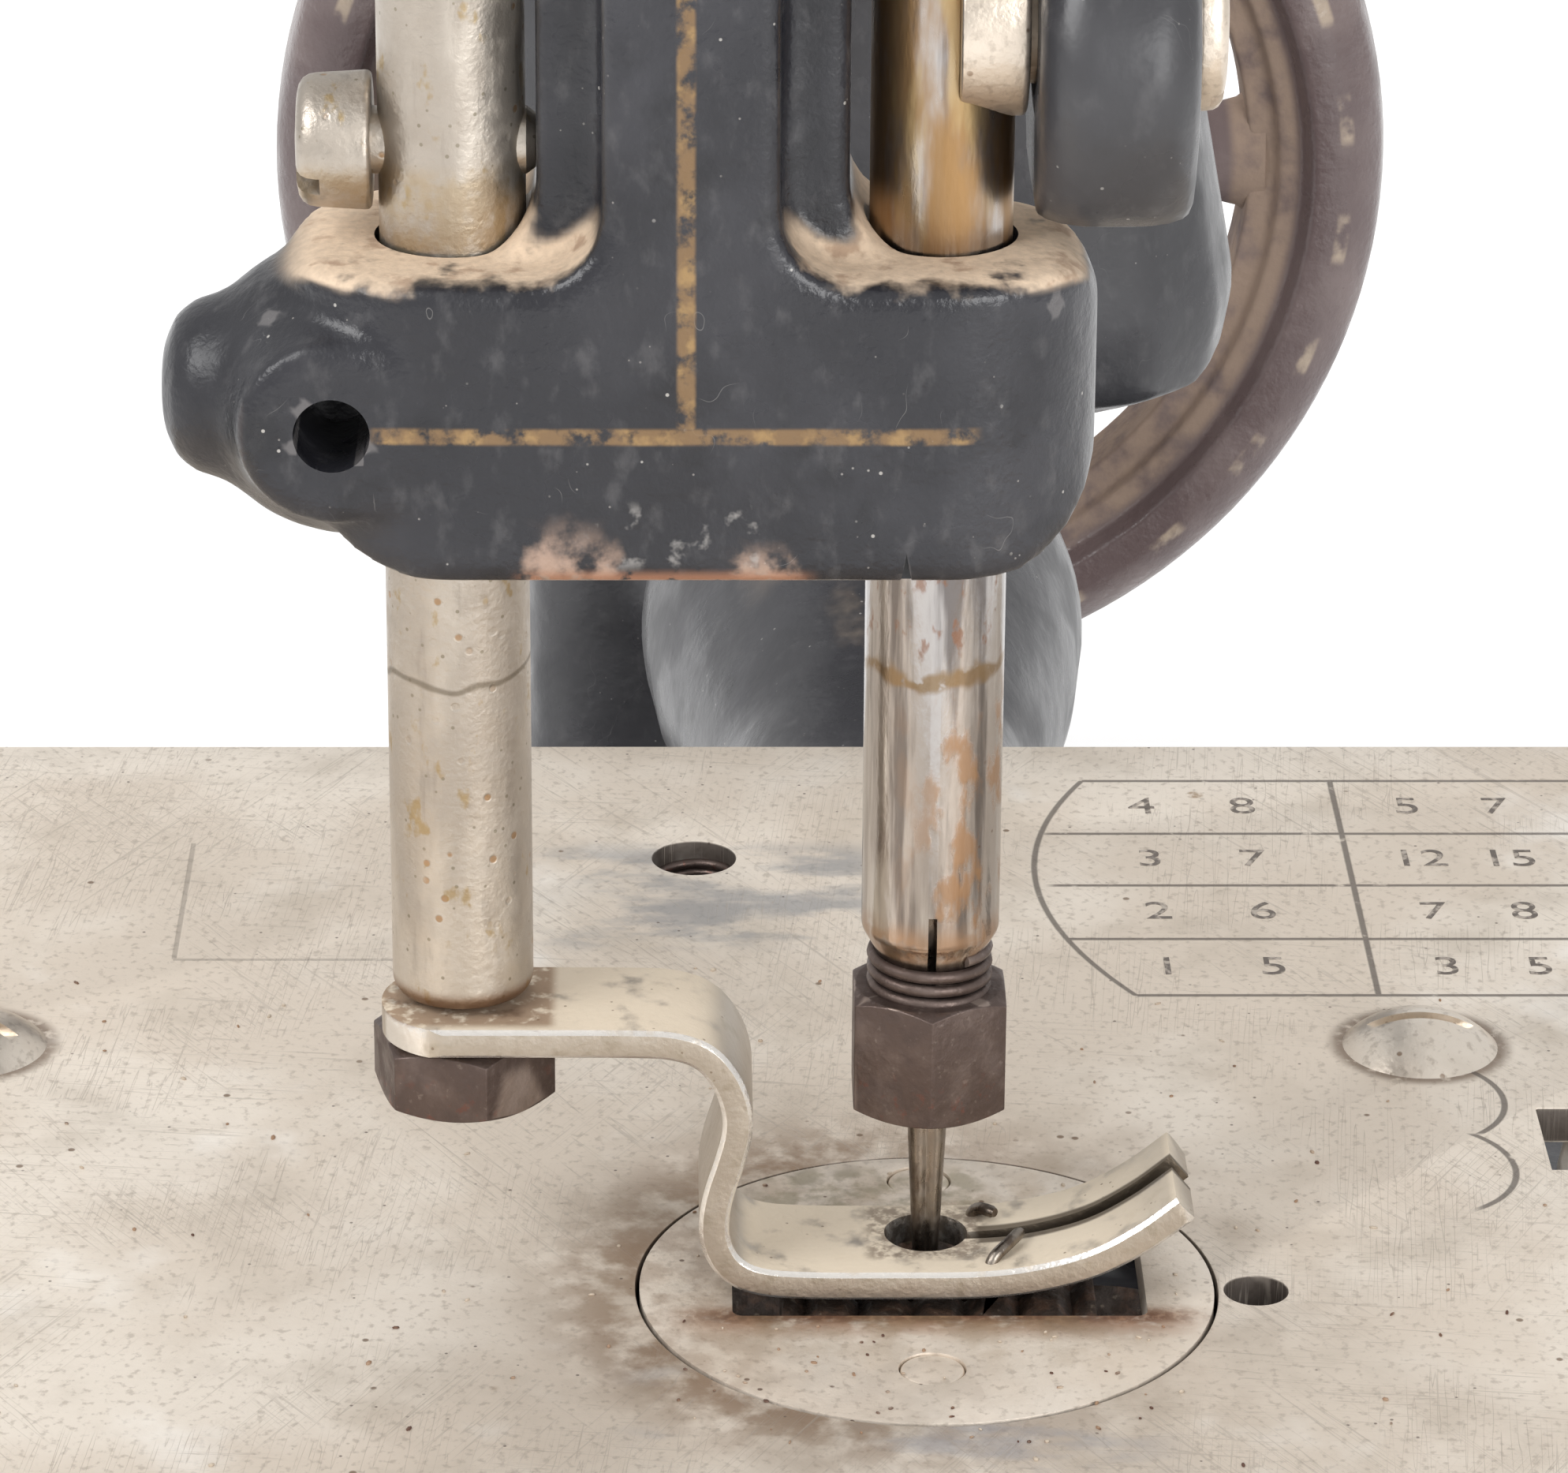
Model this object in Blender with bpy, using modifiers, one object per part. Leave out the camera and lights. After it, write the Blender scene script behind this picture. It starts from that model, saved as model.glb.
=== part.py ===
"""G-frame single-thread sewing machine with a revolving looper, as separate pieces.

Sizes are in millimetres and MM turns them into metres. X runs from the needle line along the arm
to the hand wheel, the operator sits on the -Y side, and Z = 0 is the flat underside of the base.
"""

import math

import bmesh
import bpy
from mathutils import Matrix, Vector

MM = 0.001
GAP = 0.3  # between neighbouring pieces

# Driving dimensions
PLATE_TOP = 72.0
PLATE_THICK = 2.0
PLATE_FRONT, PLATE_REAR, PLATE_HALF_Y = -63.5, 63.1, 89.0
NEEDLE_Y, PRESSER_Y = -10.8, 10.76
NEEDLE_BAR_R, PRESSER_BAR_R = 3.175, 3.25
CROSSBAR_Z = (PLATE_TOP + 37.3, PLATE_TOP + 51.0)
UPPER_HEAD_Z = (PLATE_TOP + 97.0, PLATE_TOP + 118.0)
HEAD_FRONT, HEAD_BACK = -7.7, 7.7
SHAFT_Z = PLATE_TOP - 13.2
SHAFT_R = 4.0
ECCENTRIC_THROW = 3.6
ROD_X = 172.0
STUD_Z = PLATE_TOP + 61.0
LEVER_PIVOT = (129.75, 196.0)
LEVER_FRONT_ARM, LEVER_REAR_ARM = 130.0, 42.0
LEVER_REST = math.radians(5.29)
LEVER_Y = (-24.5, -19.5)
WHEEL_X = 213.0
PRESS_NUT_Z = UPPER_HEAD_Z[1] + GAP
LIFT_COLLAR_Z = PLATE_TOP + 130.0
LIFTER_PIVOT_Z = LIFT_COLLAR_Z - 2.3
CAM_R, CAM_OFFSET = 5.0, 4.24
DIAL_CENTRE = (13.5, -60.0)
DIAL_R = 17.5
TENSION_X, SPOOL_X = 45.0, 95.0
BOLT_SEAT_Z = 16.6

MATERIALS = {
    "japan": ((0.018, 0.018, 0.021), 0.28, 0.0),
    "wheel_japan": ((0.055, 0.036, 0.036), 0.3, 0.0),
    "nickel": ((0.62, 0.57, 0.49), 0.34, 1.0),
    "steel": ((0.55, 0.53, 0.50), 0.25, 1.0),
    "dark_steel": ((0.12, 0.10, 0.09), 0.45, 1.0),
    "bronze": ((0.55, 0.38, 0.18), 0.4, 1.0),
    "felt": ((0.23, 0.04, 0.05), 0.95, 0.0),
    "dial_metal": ((0.70, 0.67, 0.60), 0.4, 1.0),
}
AXIS_TURNS = {
    "X": (0, math.pi / 2, 0),
    "-X": (0, -math.pi / 2, 0),
    "Y": (-math.pi / 2, 0, 0),
    "-Y": (math.pi / 2, 0, 0),
    "Z": (0, 0, 0),
}


def new_collection(name):
    collection = bpy.data.collections.new(name)
    bpy.context.scene.collection.children.link(collection)
    return collection


def clear_scene():
    for item in list(bpy.data.objects):
        bpy.data.objects.remove(item, do_unlink=True)


clear_scene()
PARTS = new_collection("sewing_machine")
CUTTERS = new_collection("cutters")


def material(name):
    made = bpy.data.materials.get(name)
    if made is None:
        colour, roughness, metallic = MATERIALS[name]
        made = bpy.data.materials.new(name)
        made.use_nodes = True
        shader = made.node_tree.nodes["Principled BSDF"]
        shader.inputs["Base Color"].default_value = (*colour, 1.0)
        shader.inputs["Roughness"].default_value = roughness
        shader.inputs["Metallic"].default_value = metallic
    return made


def mesh_object(name, bm, finish):
    """A part from a bmesh built in metres, shaded smooth with sharp corners."""
    bmesh.ops.recalc_face_normals(bm, faces=bm.faces)
    mesh = bpy.data.meshes.new(name)
    bm.to_mesh(mesh)
    bm.free()
    mesh.shade_smooth()
    mesh.set_sharp_from_angle(angle=math.radians(35))
    item = bpy.data.objects.new(name, mesh)
    item.data.materials.append(material(finish))
    PARTS.objects.link(item)
    return item


def rounded(item, width, segments=2):
    """Bevel on the corners sharper than 30 degrees."""
    bevel = item.modifiers.new("Edges", "BEVEL")
    bevel.width = width * MM
    bevel.segments = segments
    bevel.limit_method = "ANGLE"
    bevel.angle_limit = math.radians(30)
    return item


def box(name, low, high, finish="japan", edge=0.0, segments=2):
    bm = bmesh.new()
    bmesh.ops.create_cube(bm, size=1.0)
    size = [(b - a) * MM for a, b in zip(low, high)]
    middle = [(a + b) / 2 * MM for a, b in zip(low, high)]
    bmesh.ops.scale(bm, vec=size, verts=bm.verts)
    item = mesh_object(name, bm, finish)
    item.location = middle
    return rounded(item, edge, segments) if edge else item


def rod(name, start, axis, length, radius, finish="steel", sides=24, top_radius=None):
    """A cylinder or cone that starts at a point and runs along an axis."""
    bm = bmesh.new()
    bmesh.ops.create_cone(
        bm, cap_ends=True, segments=sides, depth=length * MM,
        radius1=radius * MM, radius2=(radius if top_radius is None else top_radius) * MM,
    )
    bmesh.ops.translate(bm, verts=bm.verts, vec=(0, 0, length / 2 * MM))
    item = mesh_object(name, bm, finish)
    item.location = Vector(start) * MM
    item.rotation_euler = AXIS_TURNS[axis]
    return item


def turned(name, profile, start, axis="Z", finish="steel", steps=24, ring=False):
    """A lathe-turned piece; the profile lists (radius, height) down its outer side."""
    mesh = bpy.data.meshes.new(name)
    points = [(radius * MM, 0, height * MM) for radius, height in profile]
    edges = [(i, i + 1) for i in range(len(points) - 1)]
    if ring:
        edges.append((len(points) - 1, 0))
    mesh.from_pydata(points, edges, [])
    item = bpy.data.objects.new(name, mesh)
    item.data.materials.append(material(finish))
    PARTS.objects.link(item)
    turn = item.modifiers.new("Turn", "SCREW")
    turn.steps = turn.render_steps = steps
    turn.use_merge_vertices = True
    turn.merge_threshold = 1e-6
    turn.use_smooth_shade = True
    item.location = Vector(start) * MM
    item.rotation_euler = AXIS_TURNS[axis]
    return item


def collar(name, start, axis, length, outer, inner, finish="steel", steps=20):
    """A plain ring."""
    profile = [(outer, length), (outer, 0), (inner, 0), (inner, length)]
    return turned(name, profile, start, axis, finish, steps, ring=True)


def loft(name, rings, finish="japan"):
    """A closed skin through rings with the same number of points, each in millimetres."""
    bm = bmesh.new()
    rows = [[bm.verts.new(Vector(p) * MM) for p in ring] for ring in rings]
    count = len(rows[0])
    for row, after in zip(rows, rows[1:]):
        for i in range(count):
            j = (i + 1) % count
            bm.faces.new((row[i], row[j], after[j], after[i]))
    bm.faces.new(rows[0])
    bm.faces.new(rows[-1])
    return mesh_object(name, bm, finish)


def rounded_section(half_n, low, high, corner, steps=3):
    """Points of a rounded rectangle, from -half_n to half_n and from low to high."""
    corner = min(corner, half_n * 0.98, (high - low) * 0.49)
    centres = [
        (half_n - corner, high - corner), (-half_n + corner, high - corner),
        (-half_n + corner, low + corner), (half_n - corner, low + corner),
    ]
    points = []
    for quarter, (n, s) in enumerate(centres):
        for k in range(steps + 1):
            angle = (quarter + k / steps) * math.pi / 2
            points.append((n + corner * math.cos(angle), s + corner * math.sin(angle)))
    return points


def hull_outline(discs, sides=24):
    """The convex outline around discs given as (x, z, radius)."""
    points = sorted(
        (x + r * math.cos(2 * math.pi * k / sides), z + r * math.sin(2 * math.pi * k / sides))
        for x, z, r in discs for k in range(sides)
    )

    def half(sequence):
        chain = []
        for point in sequence:
            while len(chain) > 1:
                (ax, az), (bx, bz) = chain[-2], chain[-1]
                if (bx - ax) * (point[1] - az) - (bz - az) * (point[0] - ax) > 0:
                    break
                chain.pop()
            chain.append(point)
        return chain[:-1]

    return half(points) + half(points[::-1])


def flat_piece(name, outline, plane, low, high, finish="steel", edge=0.0):
    """An outline given in one plane (XY, XZ or YZ) and as thick as low to high across it."""
    def place(a, b, c):
        return {"XY": (a, b, c), "XZ": (a, c, b), "YZ": (c, a, b)}[plane]

    item = loft(name, [[place(a, b, c) for a, b in outline] for c in (low, high)], finish)
    return rounded(item, edge, 1) if edge else item


def combine(target, tool, operation):
    """Boolean whose tool becomes a hidden guide in the cutters collection."""
    modifier = target.modifiers.new(operation.title(), "BOOLEAN")
    modifier.operation = operation
    modifier.object = tool
    PARTS.objects.unlink(tool)
    CUTTERS.objects.link(tool)
    tool.hide_render = True
    tool.display_type = "WIRE"
    return target


def cut(target, *tools):
    for tool in tools:
        combine(target, tool, "DIFFERENCE")
    return target


def join(target, *tools):
    for tool in tools:
        combine(target, tool, "UNION")
    return target


def pivot(name, point, *pieces):
    """An empty on a joint's axis that carries the pieces which move about it."""
    empty = bpy.data.objects.new(name, None)
    empty.empty_display_size = 5 * MM
    empty.location = Vector(point) * MM
    PARTS.objects.link(empty)
    for piece in pieces:
        piece.parent = empty
        piece.matrix_parent_inverse = Matrix.Translation(-empty.location)
    return empty


def slotted_head(item, centre, axis, width, depth, length):
    """A straight screwdriver slot cut into the end of a head."""
    x, y, z = centre
    half = {"Z": (width / 2, length / 2, depth), "Y": (length / 2, depth, width / 2)}[axis]
    low = (x - half[0], y - half[1], z - half[2])
    high = (x + half[0], y + half[1], z + half[2])
    return cut(item, box(item.name + "_slot", low, high))


# ---------------------------------------------------------------- frame and base


def arm_rings():
    """The G-shaped casting from the head over the arm and down the column."""
    stations = [  # x, z, direction in degrees, half depth, lowest y, highest y
        (-2, 176.5, 8, 10.5, -10.5, 10.5),
        (14, 178.5, 12, 10.3, -10.5, 10.5),
        (36, 186, 14, 10, -10, 10),
        (70, 194, 7, 10, -10, 10),
        (105, 196, -5, 11.5, -10.5, 10.5),
        (132, 187, -40, 13.5, -12, 11.5),
        (144, 166, -72, 15, -14.5, 12.5),
        (146, 135, -88, 16, -20.5, 13.5),
        (146, 105, -90, 17, -28, 14.5),
        (145, 88, -90, 17.5, -33.4, 14.5),
        (145, 74, -90, 18, -36, 14.5),
        (145, 68.5, -90, 17, -35, 13.5),
        (145, 66, -90, 12, -30, 9.5),
    ]
    rings = []
    for x, z, degrees, half, low, high in stations:
        angle = math.radians(degrees)
        section = rounded_section(half, low, high, 0.62 * min(half, (high - low) / 2))
        rings.append([(x - n * math.sin(angle), y, z + n * math.cos(angle)) for n, y in section])
    return rings


def leg_rings():
    """The foot of the column, spreading into the flange on the base."""
    stations = [  # z, half depth, lowest y, highest y, corner
        (PLATE_TOP + 4, 17, -13, 11, 6),
        (44, 17, -13, 11, 6),
        (28, 18, -15, 13, 7),
        (20, 22, -22, 20, 10),
        (17, 31, -38, 38, 12),
        (10.3, 32, -40, 40, 12),
    ]
    return [
        [(144 + n, y, z) for n, y in rounded_section(half, low, high, corner)]
        for z, half, low, high, corner in stations
    ]


def head_pieces():
    """Lower crossbar with its bosses, the central rib and the upper head."""
    bottom, top = CROSSBAR_Z
    crossbar = flat_piece("head_crossbar", hull_outline([(-0.7, -10.6, 7.0), (0, 10.8, 7.7)], 24),
                          "XY", bottom, top, "japan")
    rounded(crossbar, 1.6, 1)
    boss = rod("head_front_boss", (HEAD_FRONT + 0.1, 15.9, bottom + 6.95), "X", 9, 3.7, "japan", 16)
    side = turned(
        "head_side_boss",
        [(0, 9), (2.4, 8.7), (3.6, 7.7), (4.0, 6.2), (3.6, 4.2), (4.6, 1.5), (5.6, -1), (5.6, -3), (0, -3)],
        (0, 14.6, bottom + 6.8), "Y", "japan", 16)
    rib = box("head_rib", (HEAD_FRONT + 0.05, -3.5, top - 3), (2, 4.0, UPPER_HEAD_Z[0] + 4), "japan", 1.0, 1)
    web = box("head_web", (-4, -6.6, top - 4), (HEAD_BACK - 0.4, 6.9, UPPER_HEAD_Z[0] + 5), "japan", 1.0, 1)
    upper = box("head_upper", (-9.5, -18.5, UPPER_HEAD_Z[0]), (12, 18.5, UPPER_HEAD_Z[1]), "japan", 2.5, 1)
    ear = box("lifter_ear", (-4.5, 22.5, PLATE_TOP + 108), (4.5, 26, PLATE_TOP + 133), "japan", 1.0, 1)
    shelf = box("lifter_shelf", (-4, 12, PLATE_TOP + 107), (4, 25.5, PLATE_TOP + 114), "japan", 1.0, 1)
    return [crossbar, boss, side, rib, web, upper, ear, shelf]


def bed_pieces():
    """Lower arm around the shaft, with the pads that carry the cloth plate."""
    under = PLATE_TOP - PLATE_THICK - GAP
    tube = turned(
        "lower_arm",
        [(0, 146), (12, 146), (13.5, 143), (13.5, 104), (14.2, 96), (13.2, 86), (9.6, 68), (9.2, 60),
         (9.2, 0), (0, 0)],
        (18, NEEDLE_Y, SHAFT_Z), "X", "japan", 24)
    arms = box("plate_arms", (18, -41.5, under - 6), (30, 43, under), "japan", 1.0, 1)
    carrier = rod("needle_carrier", (-2.3, NEEDLE_Y, under - 2.75), "Z", 2.7, 17, "japan", 28)
    bridge = box("carrier_bridge", (6, -24, under - 2.6), (20, 2.5, under - 0.1), "japan")
    pad = box("lower_arm_pad", (24, -17.6, SHAFT_Z), (52, -4.0, under - 0.15), "japan")
    return [tube, arms, carrier, bridge, pad]


def make_frame():
    frame = loft("frame", arm_rings())
    join(frame, loft("frame_leg", leg_rings()), *bed_pieces(), *head_pieces())
    boss_start = (LEVER_PIVOT[0], LEVER_Y[1] + GAP, LEVER_PIVOT[1])
    join(frame, rod("lever_boss", boss_start, "Y", 14, 7, "japan"))
    bars = [
        rod("bore_needle", (0, NEEDLE_Y, CROSSBAR_Z[0] - 5), "Z", 100, NEEDLE_BAR_R + GAP),
        rod("bore_presser", (0, PRESSER_Y, CROSSBAR_Z[0] - 5), "Z", 100, PRESSER_BAR_R + GAP),
    ]
    boss_z = CROSSBAR_Z[0] + 6.95
    cut(
        frame, *bars,
        rod("spring_room", (0, PRESSER_Y, PLATE_TOP + 63), "Z", UPPER_HEAD_Z[0] - PLATE_TOP - 63, 7.0, sides=24),
        rod("bore_head", (HEAD_FRONT - 5, 15.9, boss_z), "X", 25, 1.65, sides=20),
        rod("bore_shaft", (0, NEEDLE_Y, SHAFT_Z), "X", 180, 6.3),
        box("feed_window", (-6.8, -22, PLATE_TOP - 9), (6.3, -0.2, PLATE_TOP)),
        rod("bore_lever", (LEVER_PIVOT[0], -30, LEVER_PIVOT[1]), "Y", 24, 2.3, sides=20),
        rod("bore_lifter", (0, 15, LIFTER_PIVOT_Z), "Y", 16, 2.3, sides=20),
        rod("bore_tension", (TENSION_X, 0, 190), "Z", 30, 2.3, sides=20),
        rod("bore_spool", (SPOOL_X, 0, 195), "Z", 30, 2.5, sides=20),
        rod("timing_notch", (-9, -9.2, CROSSBAR_Z[0] - 0.4), "X", 4, 1.1, sides=4),
    )
    for y in (-36.6, 36.6):
        cut(frame, rod("bore_plate_screw", (24, y, 50), "Z", 30, 2.1, sides=20))
    for x in (119, 169):
        for y in (-32, 32):
            cut(frame, turned("bore_base_bolt", [(0, 12), (5.4, 12), (5.4, 0), (2.6, 0), (2.6, -12), (0, -12)],
                              (x, y, BOLT_SEAT_Z), steps=14))
    return frame


def make_base():
    outline = rounded_section(117.5, -75, 75, 26, 6)
    base = flat_piece("base", [(67.5 + n, y) for n, y in outline], "XY", 0, 10, "japan")
    rounded(base, 2.5, 1)
    number = 0
    for x in (119, 169):
        for y in (-32, 32):
            number += 1
            cut(base, rod("base_bore", (x, y, 3), "Z", 12, 2.6, sides=20))
            bolt = turned(
                f"base_bolt_{number}",
                [(0, 4.2), (3.6, 4.2), (4.6, 3.2), (4.6, 0), (2.3, 0), (2.3, -12.5), (0, -12.5)],
                (x, y, BOLT_SEAT_Z + GAP), "Z", "dark_steel", 12)
            slotted_head(bolt, (x, y, BOLT_SEAT_Z + GAP + 4.2), "Z", 1.2, 1.4, 12)
    return base


def make_bushes():
    collar("front_bush", (18.5, NEEDLE_Y, SHAFT_Z), "X", 22, 6.0, SHAFT_R + GAP, "bronze")
    collar("rear_bush", (141.5, NEEDLE_Y, SHAFT_Z), "X", 22, 6.0, SHAFT_R + GAP, "bronze")


# ---------------------------------------------------------------- cloth plate and needle plate


def make_plates():
    low, high = PLATE_TOP - PLATE_THICK, PLATE_TOP
    half_x = (PLATE_REAR - PLATE_FRONT) / 2
    middle_x = (PLATE_REAR + PLATE_FRONT) / 2
    outline = rounded_section(half_x, -PLATE_HALF_Y, PLATE_HALF_Y, 5)
    plate = flat_piece("cloth_plate", [(middle_x + n, y) for n, y in outline], "XY", low, high, "nickel")
    cut(
        plate,
        rod("plate_seat", (-2.3, NEEDLE_Y, low - 3), "Z", 9, 13.7, sides=36),
        rod("plate_thread_hole", (47.6, 0, low - 3), "Z", 9, 2.24, sides=20),
        rod("plate_pin_hole", (-2.7, -26.2, low - 3), "Z", 9, 1.49, sides=16),
        box("dial_window", (10.0, -53, low - 3), (16.9, -41.6, high + 3)),
        rod("dial_stud_hole", (*DIAL_CENTRE, low - 3), "Z", 9, 2.3, sides=16),
    )
    for side, y in (("right", -36.6), ("left", 36.6)):
        cut(plate, rod("plate_screw_hole", (24, y, low - 3), "Z", 9, 2.3, sides=20))
        screw = turned(
            f"plate_screw_{side}",
            [(0, 1.75), (1.6, 1.55), (2.9, 1.05), (3.9, GAP), (3.9, 0.1 + GAP / 2), (1.8, 0.1 + GAP / 2),
             (1.8, -9), (0, -9)],
            (24, y, high), "Z", "nickel", 16)
        slotted_head(screw, (24, y, high + 1.75), "Z", 0.9, 0.75, 10)

    needle_plate = rod("needle_plate", (-2.3, NEEDLE_Y, low), "Z", PLATE_THICK, 13.4, "nickel", 36)
    cut(needle_plate, box("feed_slot", (-5.3, -21.0, low - 3), (4.7, -1.7, high + 3)))
    for number, x in enumerate((-10.5, 8.7), 1):
        cut(needle_plate, rod("rivet_hole", (x, NEEDLE_Y, low - 3), "Z", 9, 1.75, sides=16))
        rod(f"needle_plate_rivet_{number}", (x, NEEDLE_Y, low), "Z", PLATE_THICK, 1.45, "nickel", 16)

    under = low - 0.6
    dial = rod("stitch_dial", (*DIAL_CENTRE, under - 1.6), "Z", 1.6, DIAL_R, "dial_metal", 40)
    x, y = DIAL_CENTRE
    tab = hull_outline([(x, y - 12, 6), (x, y - 33, 4.5)], 16)
    join(dial, flat_piece("dial_tab", tab, "XY", under - 1.6, under, "dial_metal"))
    cut(dial, rod("dial_bore", (x, y, under - 5), "Z", 9, 2.3, sides=16))
    turned(
        "dial_stud",
        [(0, 1.4), (2.6, 1.2), (3.4, GAP), (1.9, GAP), (1.9, -4.6), (3.6, -4.6), (3.6, -5.8), (0, -5.8)],
        (x, y, high), "Z", "nickel", 20)
    pivot("dial_axis", (x, y, high), dial)


# ---------------------------------------------------------------- main shaft group


def make_shaft():
    centre = (0, NEEDLE_Y, SHAFT_Z)

    def at(x, up=0.0):
        return (x, NEEDLE_Y, SHAFT_Z + up)

    shaft = turned("main_shaft", [(0, 232), (3.4, 232), (SHAFT_R, 231), (SHAFT_R, 1.6), (0, 1.6)],
                   centre, "X", "steel", 32)
    # the hook nose sweeps around the end of the shaft, just behind the needle
    looper = collar("looper", at(2.2), "X", 3.2, 5.6, SHAFT_R + GAP, "steel", 32)
    cut(looper, box("looper_relief", (0, NEEDLE_Y + 2.2, SHAFT_Z - 1.6), (8, NEEDLE_Y + 9, SHAFT_Z + 9)))
    feed_cam = rod("feed_cam", at(13.2, 1.2), "X", 3.6, 6.4, "steel", 28)
    cut(feed_cam, rod("feed_cam_bore", at(10), "X", 12, SHAFT_R + GAP))
    eccentric = rod("eccentric", at(ROD_X - 3.8, ECCENTRIC_THROW), "X", 7.6, 9.0, "steel", 28)
    cut(eccentric, rod("eccentric_bore", at(160), "X", 24, SHAFT_R + GAP))

    rim = turned(
        "hand_wheel",
        [(42.2, 3.6), (43.0, 0), (42.2, -4.2), (39.6, -6.4), (36.8, -6.4), (35.6, -3.6), (32.4, -3.0),
         (32.2, 3.0), (36, 5.8), (40.4, 5.8)],
        at(WHEEL_X), "X", "wheel_japan", 36, ring=True)
    hub = turned(
        "wheel_hub",
        [(0, 8), (9.0, 8), (9.5, 6), (9.5, -14), (8.4, -22), (7.0, -27), (7.0, -31.5), (0, -31.5)],
        at(WHEEL_X), "X", "wheel_japan", 20)
    spokes = []
    for k in range(5):
        angle = 2 * math.pi * k / 5 + 0.3
        spoke = rod("wheel_spoke", at(WHEEL_X), "Z", 34, 4.2, "wheel_japan", 8, 3.4)
        spoke.rotation_euler = (angle, 0, 0)
        spokes.append(spoke)
    join(rim, hub, *spokes)
    cut(rim, rod("wheel_bore", at(170), "X", 70, SHAFT_R + GAP))

    turned(
        "belt_pulley",
        [(18.5, 8.5), (19.5, 7.5), (15.5, 4.6), (15.5, 3.9), (19.5, 1), (18.5, 0), (SHAFT_R + GAP, 0),
         (SHAFT_R + GAP, 8.5)],
        at(WHEEL_X + 8.3), "X", "steel", 28, ring=True)
    nut = rod("wheel_nut", at(WHEEL_X + 17.1), "X", 5.5, 8.0, "dark_steel", 6)
    cut(nut, rod("wheel_nut_bore", at(WHEEL_X + 12), "X", 18, SHAFT_R + GAP))
    pieces = [bpy.data.objects[n] for n in
              ("main_shaft", "looper", "feed_cam", "eccentric", "hand_wheel", "belt_pulley", "wheel_nut")]
    pivot("shaft_axis", centre, *pieces)


def make_pitman():
    """Strap on the eccentric and rod to the lever; its open top fork takes the lever's rear pin."""
    centre_z = SHAFT_Z + ECCENTRIC_THROW
    pin_x, pin_z = lever_point(LEVER_REAR_ARM)
    low, high = ROD_X - 3.8, ROD_X + 3.8
    strap = collar("pitman_rod", (low, NEEDLE_Y, centre_z), "X", 7.6, 13.0, 9.3, "steel", 28)
    shank = box("pitman_shank", (low + 0.6, NEEDLE_Y - 2.5, centre_z + 11), (high - 0.6, NEEDLE_Y + 2.5, 186),
                "steel")
    fork = box("pitman_fork", (pin_x - 5.0, NEEDLE_Y - 2.8, 183), (pin_x + 5.0, NEEDLE_Y + 2.8, pin_z + 1.5),
               "steel")
    join(strap, shank, fork)
    slot_low = pin_z - 11
    cut(strap, box("pitman_slot", (pin_x - 2.6, NEEDLE_Y - 6, slot_low), (pin_x + 2.6, NEEDLE_Y + 6, 220)))
    pivot("pitman_axis", (ROD_X, NEEDLE_Y, centre_z), strap)


# ---------------------------------------------------------------- needle lever, link and needle bar


def lever_point(arm):
    """Place of a point on the lever at rest, at a signed distance behind the pivot."""
    x, z = LEVER_PIVOT
    return x + arm * math.cos(LEVER_REST), z + arm * math.sin(LEVER_REST)


def make_lever():
    tip = lever_point(-LEVER_FRONT_ARM)
    rear = lever_point(LEVER_REAR_ARM)
    lever = flat_piece("needle_lever", hull_outline([(*tip, 5.5), (*LEVER_PIVOT, 9.0), (*rear, 5.0)]),
                       "XZ", *LEVER_Y, "japan")
    for (x, z), radius in ((tip, 2.0), (LEVER_PIVOT, 2.7), (rear, 1.7)):
        cut(lever, rod("lever_bore", (x, LEVER_Y[0] - 3, z), "Y", 12, radius + GAP, sides=20))
    cut(lever, rod("lever_lap", (tip[0], LEVER_Y[0] - 3, tip[1]), "Y", 5.6, 8.5, sides=24))
    tip_screw = turned(
        "link_pivot_screw",
        [(0, 5.5), (1.9, 5.5), (1.9, 0.1 - GAP), (3.8, 0.1 - GAP), (3.8, -1.6), (3.0, -2.1), (0, -2.1)],
        (tip[0], LEVER_Y[0], tip[1]), "Y", "steel", 20)
    slotted_head(tip_screw, (tip[0], LEVER_Y[0] - 2.1, tip[1]), "Y", 0.9, 0.8, 10)
    rear_pin = turned(
        "lever_rear_pin",
        [(0, 20.5), (1.8, 20.5), (2.0, 20.2), (2.0, 5.3), (1.7, 5.3), (1.7, -GAP), (3.4, -GAP), (3.4, -1.8),
         (0, -1.8)],
        (rear[0], LEVER_Y[0], rear[1]), "Y", "steel", 18)
    turned(
        "lever_pivot_screw",
        [(0, 12), (1.9, 12), (1.9, 5.3), (2.7, 5.3), (2.7, -GAP), (5.6, -GAP), (5.6, -2.2), (4.6, -3.2),
         (0, -3.2)],
        (LEVER_PIVOT[0], LEVER_Y[0], LEVER_PIVOT[1]), "Y", "steel", 18)
    screw = bpy.data.objects["lever_pivot_screw"]
    slotted_head(screw, (LEVER_PIVOT[0], LEVER_Y[0] - 3.2, LEVER_PIVOT[1]), "Y", 1.1, 1.2, 14)
    hook_path = [(tip[0] - 4.6, LEVER_Y[0] - 1.2, tip[1] + 1), (tip[0] - 9, LEVER_Y[0] - 1.4, tip[1] + 3),
                 (tip[0] - 13, LEVER_Y[0] - 1.2, tip[1] + 8), (tip[0] - 12, LEVER_Y[0] - 1.2, tip[1] + 12),
                 (tip[0] - 8, LEVER_Y[0] - 1.2, tip[1] + 12.5), (tip[0] - 6.5, LEVER_Y[0] - 1.2, tip[1] + 9)]
    take_up = wire("take_up_hook", hook_path, 0.8)
    pivot("lever_axis", (LEVER_PIVOT[0], LEVER_Y[0], LEVER_PIVOT[1]), lever, rear_pin, tip_screw, take_up)


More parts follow.
